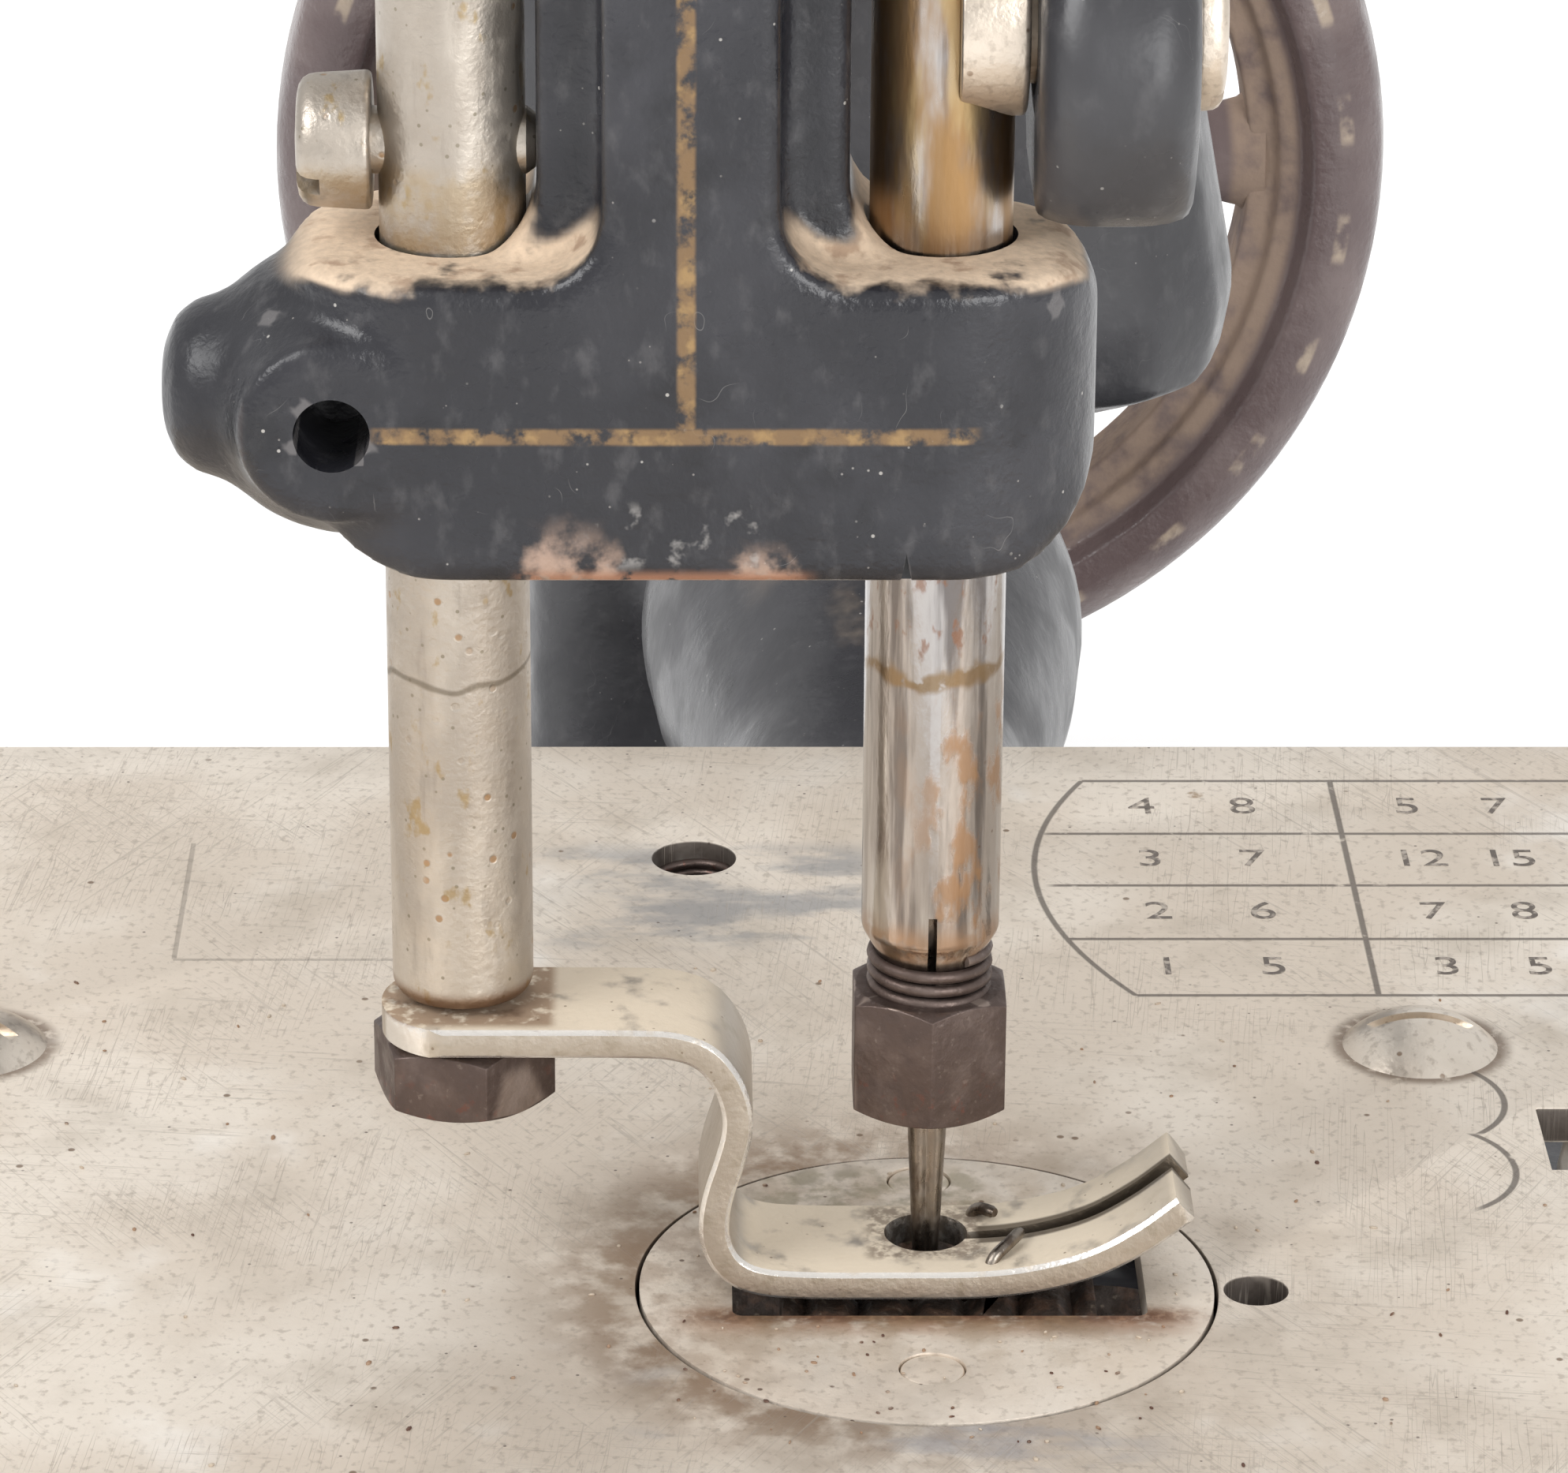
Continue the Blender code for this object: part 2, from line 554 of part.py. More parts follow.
def wire(name, path, radius, finish="steel", resolution=2):
    """A bent wire along points in millimetres, as a closed mesh."""
    data = bpy.data.curves.new(name, "CURVE")
    data.dimensions = "3D"
    data.bevel_depth = radius * MM
    data.bevel_resolution = resolution
    data.use_fill_caps = True
    spline = data.splines.new("POLY")
    spline.points.add(len(path) - 1)
    for point, place in zip(spline.points, path):
        point.co = (*(Vector(place) * MM), 1.0)
    guide = bpy.data.objects.new(name + "_path", data)
    CUTTERS.objects.link(guide)
    mesh = bpy.data.meshes.new_from_object(guide.evaluated_get(bpy.context.evaluated_depsgraph_get()))
    bpy.data.objects.remove(guide)
    bm = bmesh.new()
    bm.from_mesh(mesh)
    bmesh.ops.remove_doubles(bm, verts=bm.verts, dist=1e-6)
    bpy.data.meshes.remove(mesh)
    return mesh_object(name, bm, finish)


def make_link():
    """Needle-bar link: a heavy eye at the stud, joggled outwards below the upper head."""
    tip_x, tip_z = lever_point(-LEVER_FRONT_ARM)
    bottom = PLATE_TOP + 52.2
    stations = [  # height above the lowest point, half width in X, inner y, outer y
        (0, 3.0, -15.4, -20.9), (0.8, 5.0, -14.8, -21.5), (2.6, 6.9, -14.7, -21.6), (5.8, 8.3, -14.7, -21.6),
        (8.8, 8.6, -14.7, -21.6), (11.5, 7.2, -14.7, -21.6), (13.6, 5.2, -14.7, -21.6),
        (19.6, 4.6, -19.4, -24.6), (24, 4.4, -19.6, -24.4), (49.6, 4.4, -19.6, -24.4),
        (50.6, 4.6, -22.2, -24.4), (59.6, 5.6, -22.2, -24.4), (63.5, 4.6, -22.2, -24.4), (65, 2.5, -22.3, -24.3),
    ]
    rings = [
        [(n, y, bottom + up) for n, y in rounded_section(half, outer, inner, 1.6, 2)]
        for up, half, inner, outer in stations
    ]
    link = loft("needle_link", rings)
    for (x, z), radius in (((0, STUD_Z), 3.7), ((tip_x, tip_z), 2.3)):
        cut(link, rod("link_bore", (x, -30, z), "Y", 24, radius, sides=20))
    pivot("link_axis", (tip_x, LEVER_Y[0], tip_z), link)


def make_needle_bar():
    z = PLATE_TOP
    bar = turned(
        "needle_bar",
        [(0, 128), (2.7, 128), (NEEDLE_BAR_R, 127.3), (NEEDLE_BAR_R, 17.8), (2.8, 16.4), (2.8, 15.0), (0, 15.0)],
        (0, NEEDLE_Y, z), "Z", "steel", 24)
    cut(bar, rod("needle_socket", (0, NEEDLE_Y, z + 10), "Z", 16, 1.3, sides=16))
    stud = turned(
        "link_stud",
        [(0, 0), (4.4, 0), (4.4, -3.0), (3.0, -3.0), (3.0, -10.2), (4.2, -10.2), (4.2, -11.4), (3.4, -11.8), (0, -11.8)],
        (0, NEEDLE_Y - 0.6, STUD_Z), "Y", "dark_steel", 20)
    cut(stud, rod("stud_saddle", (0, NEEDLE_Y, STUD_Z - 8), "Z", 16, NEEDLE_BAR_R + GAP, sides=24))
    slotted_head(stud, (0, NEEDLE_Y - 12.4, STUD_Z), "Y", 1.0, 0.9, 12)
    nut = rod("collet_nut", (0, NEEDLE_Y, z + 8.7), "Z", 5.9, 4.04, "dark_steel", 6)
    cut(nut, rod("collet_bore", (0, NEEDLE_Y, z + 5), "Z", 12, 1.3, sides=16))
    needle = turned(
        "needle",
        [(0, 24), (0.95, 24), (0.95, 6.6), (0.78, 3), (0.6, -1), (0.45, -6), (0.12, -9.4), (0, -9.5)],
        (0, NEEDLE_Y, z), "Z", "steel", 16)
    pivot("needle_bar_axis", (0, NEEDLE_Y, z), bar, stud, nut, needle)


# ---------------------------------------------------------------- presser bar, foot and lifter


def foot_outline():
    """Side of the bent strip in YZ: from the bar over the step and down to the toe."""
    over = [(14.7, 14.3), (1.2, 14.2), (-0.6, 13.6), (-2.1, 11.8), (-2.7, 9.4), (-2.5, 7.8), (-1.9, 5.4),
            (-1.7, 3.7), (-2.1, 2.5), (-3.2, 1.95), (-5, 1.75), (-13.4, 1.75), (-18.6, 3.0), (-22.2, 5.6)]
    under = [(-23.1, 4.5), (-19.2, 1.6), (-13.4, 0.35), (-3.0, 0.35), (-0.9, 0.9), (-0.2, 2.1), (0.1, 3.7),
             (-0.1, 5.8), (-0.6, 7.8), (-1.1, 9.4), (-0.8, 10.8), (0.1, 12.2), (1.5, 12.6), (14.7, 12.6)]
    return [(y, PLATE_TOP + z) for y, z in over + under]


def make_presser():
    z = PLATE_TOP
    bar = turned(
        "presser_bar",
        [(0, 134), (2.7, 134), (PRESSER_BAR_R, 133.4), (PRESSER_BAR_R, 15.1), (3.0, 14.65), (2.0, 14.65),
         (2.0, 24), (0, 24)],
        (0, PRESSER_Y, z), "Z", "nickel", 24)
    cut(bar, rod("collar_screw_bore", (0, PRESSER_Y - 8, z + 55.3), "Y", 16, 1.8, sides=16))
    foot = flat_piece("presser_foot", foot_outline(), "YZ", -4.5, 2.8, "nickel")
    cut(
        foot,
        rod("foot_needle_hole", (-0.2, NEEDLE_Y, z - 3), "Z", 9, 2.0, sides=20),
        rod("foot_screw_hole", (0, PRESSER_Y, z + 10), "Z", 8, 1.9, sides=16),
        box("thread_slot", (-1.0, -26, z - 3), (-0.1, -12.7, z + 9)),
    )
    end = box("foot_end", (-12, PRESSER_Y - 0.01, z + 10), (12, 24, z + 18))
    cut(end, rod("foot_end_round", (-0.85, PRESSER_Y, z + 9), "Z", 10, 3.75, sides=32))
    cut(foot, end)
    screw = rod("foot_screw", (0, PRESSER_Y, z + 9.1), "Z", 3.1, 4.4, "dark_steel", 6)
    screw.rotation_euler = (0, 0, math.radians(15))
    join(screw, rod("foot_screw_shank", (0, PRESSER_Y, z + 10), "Z", 12, 1.6, "dark_steel", 16))
    collar_screw = turned(
        "collar_screw",
        [(0, 5.9), (1.6, 5.8), (2.6, 5.2), (3.08, 4.2), (3.08, 2.5), (1.5, 2.5), (1.5, -4.3), (1.2, -4.7), (0, -4.7)],
        (0, PRESSER_Y + 1.0, z + 55.3), "Y", "nickel", 16)
    slotted_head(collar_screw, (0, PRESSER_Y + 6.9, z + 55.3), "Y", 0.9, 1.1, 9)
    spring_seat = collar("spring_seat", (0, PRESSER_Y, z + 66), "Z", 3.5, 6.2, PRESSER_BAR_R + GAP, "steel", 28)
    lift_collar = collar("lift_collar", (0, PRESSER_Y, LIFT_COLLAR_Z), "Z", 3.6, 6.0, PRESSER_BAR_R + GAP,
                         "steel", 28)
    lug = box("lift_lug", (-2.6, PRESSER_Y + 4.6, LIFT_COLLAR_Z), (2.6, PRESSER_Y + 11.4, LIFT_COLLAR_Z + 3.6),
              "steel", 0.5, 1)
    join(lift_collar, lug)
    pivot("presser_axis", (0, PRESSER_Y, z), bar, foot, screw, collar_screw, spring_seat, lift_collar)

    low, high, turns, wire_r = z + 70.6, UPPER_HEAD_Z[0] - 1.2, 5, 0.75
    per_turn = 8
    path = []
    for k in range(turns * per_turn + 1):
        angle = 2 * math.pi * k / per_turn
        rise = low + (high - low) * k / (turns * per_turn)
        path.append((4.9 * math.cos(angle), PRESSER_Y + 4.9 * math.sin(angle), rise))
    wire("presser_spring", path, wire_r, "steel", 1)


def make_pressure_nut():
    nut = turned(
        "pressure_nut",
        [(6.2, 6.6), (6.7, 6.1), (6.7, 1.2), (6.0, 0.4), (6.0, 0), (PRESSER_BAR_R + GAP, 0),
         (PRESSER_BAR_R + GAP, 6.6)],
        (0, PRESSER_Y, PRESS_NUT_Z), "Z", "nickel", 24, ring=True)
    pivot("pressure_nut_axis", (0, PRESSER_Y, PRESS_NUT_Z), nut)


def make_lifter():
    """Cam below the lift collar's lug, carried on a shaft through the ear, with a hanging handle."""
    down = CAM_OFFSET / math.sqrt(2)
    cam = rod("presser_lifter", (-down, 18.0, LIFTER_PIVOT_Z - down), "Y", 4.2, CAM_R, "nickel", 32)
    join(
        cam,
        rod("lifter_shaft", (0, 19, LIFTER_PIVOT_Z), "Y", 8.5, 2.0, "nickel", 16),
        flat_piece("lifter_handle", hull_outline([(0, LIFTER_PIVOT_Z, 4.6), (15, LIFTER_PIVOT_Z - 27, 3.4)]),
                   "XZ", 26.4, 29.6, "nickel"),
    )
    pivot("lifter_axis", (0, 22, LIFTER_PIVOT_Z), cam)


# ---------------------------------------------------------------- feed


def make_feed():
    top = PLATE_TOP - 0.4
    dog = box("feed_dog", (-4.6, -18.7, PLATE_TOP - 7.2), (4.0, -4.0, top), "steel")
    foot = box("feed_dog_foot", (3, -15, PLATE_TOP - 7.2), (8.2, -6.5, PLATE_TOP - 5.3), "steel")
    join(dog, foot)
    cut(dog, box("feed_needle_slot", (-1.9, NEEDLE_Y - 3.6, PLATE_TOP - 12), (1.7, NEEDLE_Y + 3.6, PLATE_TOP + 3)))
    for k in range(6):
        y = -17.6 + 2.5 * k
        tooth = rod("feed_tooth_gap", (-7, y, top + 0.25), "X", 14, 0.9, "steel", 4)
        cut(dog, tooth)
    bar = box("feed_bar", (8.5, -24, PLATE_TOP - 7.7), (12.5, 2.4, PLATE_TOP - 5.4), "steel")
    for side in (-1, 1):
        inner, outer = NEEDLE_Y + side * 10.0, NEEDLE_Y + side * 13.2
        arm = box("feed_fork", (8.8, min(inner, outer), PLATE_TOP - 20), (17, max(inner, outer), PLATE_TOP - 5.7),
                  "steel")
        join(bar, arm)
    pivot("feed_axis", (0, NEEDLE_Y, PLATE_TOP), dog, bar)


# ---------------------------------------------------------------- thread path on the arm


def make_tension():
    top = 202.0
    turned("tension_stud", [(0, 26), (1.6, 26), (2.0, 25.4), (2.0, -8), (0, -8)], (TENSION_X, 0, top), "Z",
           "steel", 20)
    for name, up in (("tension_disc_lower", 1.2), ("tension_disc_upper", 2.9)):
        turned(
            name,
            [(8.2, 1.2), (9.2, 0.5), (8.2, 0), (2.3, 0), (2.3, 1.2)],
            (TENSION_X, 0, top + up), "Z", "nickel", 20, ring=True)
    path = []
    turns, per_turn = 4, 8
    for k in range(turns * per_turn + 1):
        angle = 2 * math.pi * k / per_turn
        path.append((TENSION_X + 3.7 * math.cos(angle), 3.7 * math.sin(angle),
                     top + 5.3 + 8.5 * k / (turns * per_turn)))
    wire("tension_spring", path, 0.5, "steel", 1)
    nut = turned(
        "tension_nut",
        [(4.6, 8.4), (5.0, 8.0), (5.0, 6.0), (6.8, 5.2), (6.8, 1.0), (6.0, 0), (2.3, 0), (2.3, 8.4)],
        (TENSION_X, 0, top + 14.9), "Z", "nickel", 20, ring=True)
    pivot("tension_nut_axis", (TENSION_X, 0, top + 14.9), nut)


def make_spool_holder():
    top = 208.2
    turned(
        "spool_pin",
        [(0, 48), (1.4, 47.6), (2.2, 46), (2.2, 3.2), (7.0, 3.0), (7.6, 2.2), (7.6, 0.6), (2.2, 0.6), (2.2, -8), (0, -8)],
        (SPOOL_X, 0, top), "Z", "nickel", 20)
    collar("spool_felt", (SPOOL_X, 0, top + 3.6), "Z", 1.8, 10.0, 2.6, "felt", 24)


def make_thread_guide():
    """Wire eye on the front of the upper head."""
    x, z = -9.8, PLATE_TOP + 108
    centre = (x - 4.5, NEEDLE_Y + 6)
    path = [(x, NEEDLE_Y + 6, z + 3), (x - 1.5, NEEDLE_Y + 6, z + 2.8)]
    for k in range(15):
        angle = math.radians(20 + 21 * k)
        path.append((centre[0] + 2.6 * math.cos(angle), centre[1] + 2.6 * math.sin(angle), z + 2.2 - 0.16 * k))
    wire("thread_guide", path, 0.6)


make_base()
make_frame()
make_bushes()
make_plates()
make_shaft()
make_pitman()
make_lever()
make_link()
make_needle_bar()
make_presser()
make_pressure_nut()
make_lifter()
make_feed()
make_tension()
make_spool_holder()
make_thread_guide()
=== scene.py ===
# %% [markdown]
# # A G-frame sewing machine, dressed for its portrait
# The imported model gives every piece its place. This script gives the same pieces their real surfaces:
# worn black japan on cast iron, nickel gone warm with age, bright steel with rust in its pores.
# All lengths below are in millimetres and are turned into metres by MM when a mesh is made.

# %% Load the frame
import math

import bmesh
import bpy
from mathutils import Matrix, Vector


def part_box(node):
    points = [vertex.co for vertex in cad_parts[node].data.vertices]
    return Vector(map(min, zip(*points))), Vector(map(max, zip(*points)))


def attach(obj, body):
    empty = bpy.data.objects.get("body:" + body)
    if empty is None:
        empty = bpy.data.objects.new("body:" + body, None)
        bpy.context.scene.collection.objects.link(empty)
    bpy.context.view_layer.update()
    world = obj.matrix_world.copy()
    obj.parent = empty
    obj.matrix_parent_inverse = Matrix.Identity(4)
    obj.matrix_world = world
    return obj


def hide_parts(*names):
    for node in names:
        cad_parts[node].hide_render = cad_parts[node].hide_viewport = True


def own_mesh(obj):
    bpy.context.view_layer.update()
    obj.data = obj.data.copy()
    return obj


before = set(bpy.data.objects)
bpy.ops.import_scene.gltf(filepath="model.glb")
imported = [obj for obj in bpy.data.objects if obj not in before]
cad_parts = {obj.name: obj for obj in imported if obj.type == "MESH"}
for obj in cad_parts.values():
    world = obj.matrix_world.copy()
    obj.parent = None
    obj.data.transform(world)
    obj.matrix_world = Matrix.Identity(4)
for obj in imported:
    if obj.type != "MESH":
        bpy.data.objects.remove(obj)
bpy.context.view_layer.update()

MM = 0.001
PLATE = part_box("cloth_plate")[1][2] / MM
shaft_low, shaft_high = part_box("main_shaft")
NEEDLE_Y = (shaft_low[1] + shaft_high[1]) / 2 / MM
SHAFT_Z = (shaft_low[2] + shaft_high[2]) / 2 / MM
ECCENTRIC_THROW = 3.6
PRESSER_Y = 10.76
SEAT = (-2.3, NEEDLE_Y)                     # middle of the round needle plate
RIVET_X = (-10.5, 8.7)
PLATE_SCREW_X, PLATE_SCREW_Y = 24, 36.6
GUIDE_HOLE = (47.6, 0)                      # threaded hole behind the needle
NEAR_HOLE = (-2.7, -26.2)
DIAL_CENTRE = (13.5, -60.0)
LEVER_PIVOT = (129.75, 196.0)               # X and Z
LEVER_FRONT, LEVER_REAR = -130.0, 42.0      # arms of the lever from its pivot
LEVER_FACE_Y = -24.5
TENSION_SPOT, SPOOL_SPOT = (45, 0), (95, 0)
BASE_BOLTS = [(x, y) for x in (119, 169) for y in (-32, 32)]
print("cloth plate top", round(PLATE, 2), "shaft height", round(SHAFT_Z, 2))

# %% [markdown]
# ## Node arithmetic
# Masks for rust or wear are sums and products of simple patterns. Wrapping a socket in a small class
# lets those sums be written as plain expressions, and each operator adds the Math node it needs.

# %% A socket that can be calculated with


class Wire:
    def __init__(self, finish, socket):
        self.finish = finish
        self.socket = socket

    def math(self, operation, first, second=None):
        values = {0: first} if second is None else {0: first, 1: second}
        return self.finish.node("Math", {"operation": operation}, values)

    def __add__(self, other):
        return self.math("ADD", self, other)

    def __sub__(self, other):
        return self.math("SUBTRACT", self, other)

    def __mul__(self, other):
        return self.math("MULTIPLY", self, other)

    def __truediv__(self, other):
        return self.math("DIVIDE", self, other)

    def __rsub__(self, other):
        return self.math("SUBTRACT", other, self)

    __radd__ = __add__
    __rmul__ = __mul__

    def size(self):
        return self.math("ABSOLUTE", self)

    def least(self, other):
        return self.math("MINIMUM", self, other)

    def most(self, other):
        return self.math("MAXIMUM", self, other)

    def rise(self, start, end):
        """0 below start, 1 above end and smooth between; start may be the larger one."""
        return self.finish.node(
            "MapRange", {"interpolation_type": "SMOOTHSTEP"},
            {"Value": self, "From Min": start, "From Max": end, "To Min": 0.0, "To Max": 1.0},
        )

    def band(self, centre, half, soft=0.15):
        """1 within half of centre."""
        return (self - centre).size().rise(half + soft, half)


# %% [markdown]
# A finish starts as one plain metal or paint. Each later line lays a colour, a sheen or a pattern over
# what is there, so a material reads in the order in which the surface aged.

# %% A material under construction


class Finish:
    def __init__(self, name, colour, roughness, metallic):
        self.material = bpy.data.materials.new(name)
        self.material.use_nodes = True
        self.tree = self.material.node_tree
        self.shader = self.tree.nodes["Principled BSDF"]
        self.colour = (*colour, 1.0)
        self.roughness = roughness
        self.shader.inputs["Metallic"].default_value = metallic
        self.spot = self.node("TexCoord", {}, {}, "Object")
        in_mm = self.node("VectorMath", {"operation": "SCALE"}, {0: self.spot, "Scale": 1 / MM})
        self.mm = in_mm
        self.x = self.node("SeparateXYZ", {}, {0: in_mm}, "X")
        self.y = self.node("SeparateXYZ", {}, {0: in_mm}, "Y")
        self.z = self.node("SeparateXYZ", {}, {0: in_mm}, "Z")

    def plug(self, target, value):
        if isinstance(value, Wire):
            self.tree.links.new(value.socket, target)
        elif hasattr(target.default_value, "__len__") and not hasattr(value, "__len__"):
            target.default_value = (value,) * len(target.default_value)
        else:
            target.default_value = value

    def node(self, kind, settings, sockets, out=0):
        made = self.tree.nodes.new("ShaderNode" + kind)
        for key, value in settings.items():
            setattr(made, key, value)
        for key, value in sockets.items():
            self.plug(made.inputs[key], value)
        return Wire(self, made.outputs[out])

    def noise(self, grain, detail=3.0, stretch=(1, 1, 1), shift=0.0):
        """Cloudy pattern from 0 to 1 whose lumps are about grain millimetres across."""
        scaled = self.node("VectorMath", {"operation": "MULTIPLY_ADD"},
                           {0: self.mm, 1: [1 / (grain * s) for s in stretch],
                            2: (shift, shift * 1.7, -shift)})
        return self.node("TexNoise", {},
                         {"Vector": scaled, "Scale": 1.0, "Detail": detail, "Roughness": 0.55})

    def scratches(self, angle, length, width, shift=0.0):
        """Fine lines on a level surface that run at an angle to X."""
        turned = self.node("VectorRotate", {"rotation_type": "Z_AXIS"}, {"Vector": self.mm, "Angle": angle})
        scaled = self.node("VectorMath", {"operation": "MULTIPLY_ADD"},
                           {0: turned, 1: (1 / length, 1 / width, 1 / length), 2: (shift, -shift, shift)})
        lines = self.node("TexNoise", {}, {"Vector": scaled, "Scale": 1.0, "Detail": 1.0})
        return ((lines - 0.5).size().rise(0.012, 0.0)
                * self.noise(length * 0.8, 1, shift=shift + 3).rise(0.5, 0.62))

    def specks(self, spacing, radius, share=0.4, shift=0.0):
        """Small round dots, of which a share shows."""
        scaled = self.node("VectorMath", {"operation": "MULTIPLY_ADD"},
                           {0: self.mm, 1: [1 / spacing] * 3, 2: (shift, shift, shift)})
        cells = self.node("TexVoronoi", {}, {"Vector": scaled, "Scale": 1.0}, "Distance")
        pick = self.noise(spacing * 4, 2, shift=shift + 7)
        return cells.rise(radius / spacing, radius / spacing * 0.6) * pick.rise(1 - share, 1.08 - share)

    def tint(self, colour, amount):
        """Lays a colour over what is there."""
        mixed = {0: amount, 6: self.colour, 7: (*colour, 1.0)}
        self.colour = self.node("Mix", {"data_type": "RGBA"}, mixed, 2)

    def dull(self, roughness, amount):
        """Moves the roughness towards a value where amount is 1."""
        self.roughness = (roughness - self.roughness) * amount + self.roughness

    def strip(self, amount):
        """Takes the metal away where amount is 1."""
        metal = self.shader.inputs["Metallic"]
        self.plug(metal, (1 - amount) * metal.default_value)

    def side(self, axis):
        """The surface normal's share along an axis."""
        normal = self.node("NewGeometry", {}, {}, "Normal")
        return self.node("SeparateXYZ", {}, {0: normal}, axis)

    def up(self):
        """1 on level tops, 0 on walls."""
        return self.side("Z")

    def edges(self, low, high):
        """1 on sharp outer edges, from the mesh's own curvature."""
        return self.node("NewGeometry", {}, {}, "Pointiness").rise(low, high)

    def apart(self, first, second):
        """Length of a flat offset."""
        return self.node("Math", {"operation": "SQRT"}, {0: first * first + second * second})

    def done(self, height, depth):
        self.plug(self.shader.inputs["Base Color"], self.colour)
        self.plug(self.shader.inputs["Roughness"], self.roughness)
        bump = self.node("Bump", {}, {"Height": height, "Distance": depth * MM, "Strength": 1.0})
        self.plug(self.shader.inputs["Normal"], bump)
        return self.material


print("node arithmetic ready")

# %% [markdown]
# ## Black japan
# Japan is a baked asphalt varnish: near black, glossy, thin on the edges. Eighty years of work leave it
# scuffed to a satin, with lint and pale specks caught in it, tan dust where oil lay on the level pads,
# and bare brown iron where the lower edge was knocked. The gold pinstripe is worn through in places.

# %% Black japan


def japan_base(name):
    f = Finish(name, (0.014, 0.014, 0.018), 0.26, 0.0)
    f.tint((0.040, 0.040, 0.047), f.noise(12, 5).rise(0.42, 0.72) * 0.8)
    f.tint((0.095, 0.092, 0.095), f.noise(1.3, 5, (1, 1, 1.6)).rise(0.52, 0.78) * 0.5)
    f.tint((0.006, 0.006, 0.008), f.noise(4.5, 4, shift=6).rise(0.54, 0.70) * 0.6)
    f.dull(0.44, f.noise(6, 4, shift=2).rise(0.4, 0.7))
    f.tint((0.46, 0.44, 0.41), f.specks(1.3, 0.10, 0.5) * 0.75)
    f.tint((0.30, 0.28, 0.26), f.specks(0.65, 0.065, 0.45, 5) * 0.6)
    hairs = f.noise(3.0, 1, (0.25, 0.8, 1.0), 9)
    f.tint((0.26, 0.25, 0.24), (hairs - 0.5).size().rise(0.0035, 0.0)
           * f.noise(4, 1, shift=4).rise(0.62, 0.70) * 0.5)
    return f


def japan_dust(f, mask):
    """Tan dust held by old oil."""
    grit = f.noise(0.5, 5, shift=3)
    f.tint((0.72, 0.56, 0.41), mask * (0.62 + grit * 0.6).least(1.0))
    f.tint((0.32, 0.20, 0.13), mask * f.noise(1.6, 4, shift=8).rise(0.54, 0.70) * 0.65)
    f.dull(0.92, mask)


def make_japan_head():
    f = japan_base("japan_head")
    f.tint((0.16, 0.15, 0.15), f.edges(0.53, 0.60) * 0.6)
    front = f.x.rise(-7.0, -7.35)
    worn = f.noise(0.9, 5, shift=1)
    upright = f.y.band(0.46, 0.28, 0.22) * f.z.rise(PLATE + 44.4, PLATE + 44.7)
    across = f.z.band(PLATE + 44.25, 0.25, 0.22) * f.y.rise(-12.6, -11.6) * f.y.rise(14.4, 13.8)
    stripe = upright.most(across) * front * worn.rise(0.34, 0.56)
    f.tint((0.22, 0.13, 0.055), stripe * 0.8)
    f.tint((0.34, 0.215, 0.085), stripe * f.noise(0.9, 3, (1, 1.5, 1.5), 6).rise(0.48, 0.66) * 0.7)
    # level pads round the two bars
    needle_side = (f.y - NEEDLE_Y).size().rise(9.5, 5.0)
    presser_side = (f.y - PRESSER_Y).size().rise(9.0, 5.5)
    level = (f.up().rise(0.15, 0.6) * f.z.rise(PLATE + 49.6, PLATE + 50.4)
             * f.z.rise(PLATE + 54.6, PLATE + 52.8))
    ragged = ((f.x + f.noise(2.0, 4, shift=9) * 3.2).rise(-5.8, -4.6)
              * f.noise(2.2, 4, shift=11).rise(0.22, 0.42))
    japan_dust(f, level * needle_side.most(presser_side) * ragged)
    # chipped lower front edge
    chip = f.noise(1.9, 4, shift=14)
    wander = (f.noise(2.2, 4, shift=21) - 0.5) * 5.0
    left_chip = (f.y + wander).band(5.4, 0.7, 1.3) * (f.z + wander * 0.4).rise(PLATE + 40.6, PLATE + 38.2)
    right_chip = (f.y + wander).band(-3.4, 0.5, 1.2) * (f.z + wander * 0.3).rise(PLATE + 39.6, PLATE + 37.9)
    f.tint((0.42, 0.29, 0.22), left_chip.most(right_chip) * chip.rise(0.36, 0.56) * 0.85)
    rim = f.z.rise(PLATE + 38.2, PLATE + 37.5) * f.y.band(1.4, 5.4, 1.6)
    f.tint((0.36, 0.17, 0.10), rim * f.noise(0.8, 3, shift=12).rise(0.36, 0.5) * 0.9)
    f.tint((0.42, 0.40, 0.38), f.y.band(0.9, 3.4, 1.0) * f.z.band(PLATE + 39.6, 1.0, 0.8)
           * chip.rise(0.56, 0.66) * 0.5)
    # brown rim round the side boss
    boss = f.y.rise(19.6, 20.2) * f.edges(0.52, 0.57)
    f.tint((0.30, 0.15, 0.10), boss * 0.6)
    height = f.noise(2.5, 4) * 0.7 + f.noise(0.35, 3, shift=5) * 0.18 - stripe * 0.05
    return f.done(height, 0.22)


def make_japan_casting():
    f = japan_base("japan_casting")
    f.tint((0.075, 0.074, 0.078), 0.45)
    f.tint((0.14, 0.13, 0.13), f.edges(0.53, 0.62) * 0.5)
    japan_dust(f, f.up().rise(0.7, 0.99) * f.noise(11, 5, shift=11).rise(0.58, 0.78) * 0.3)
    stripe = (f.y.size().band(7.6, 0.45, 0.12) * f.z.rise(PLATE + 100, PLATE + 112)
              * f.noise(2.2, 4).rise(0.38, 0.5))
    f.tint((0.46, 0.30, 0.12), stripe * f.up().rise(0.1, 0.3) * 0.8)
    height = f.noise(3.5, 4) * 0.8 + f.noise(0.8, 3, shift=5) * 0.12
    return f.done(height, 0.14)


JAPAN_HEAD = make_japan_head()
JAPAN = make_japan_casting()
print("japan:", JAPAN_HEAD.name, JAPAN.name)

# %% [markdown]
# The hand wheel has a browner japan. Its rim keeps short worn dashes of gold, and the stepped groove
# inside the rim has collected brown dust.

# %% Wheel japan


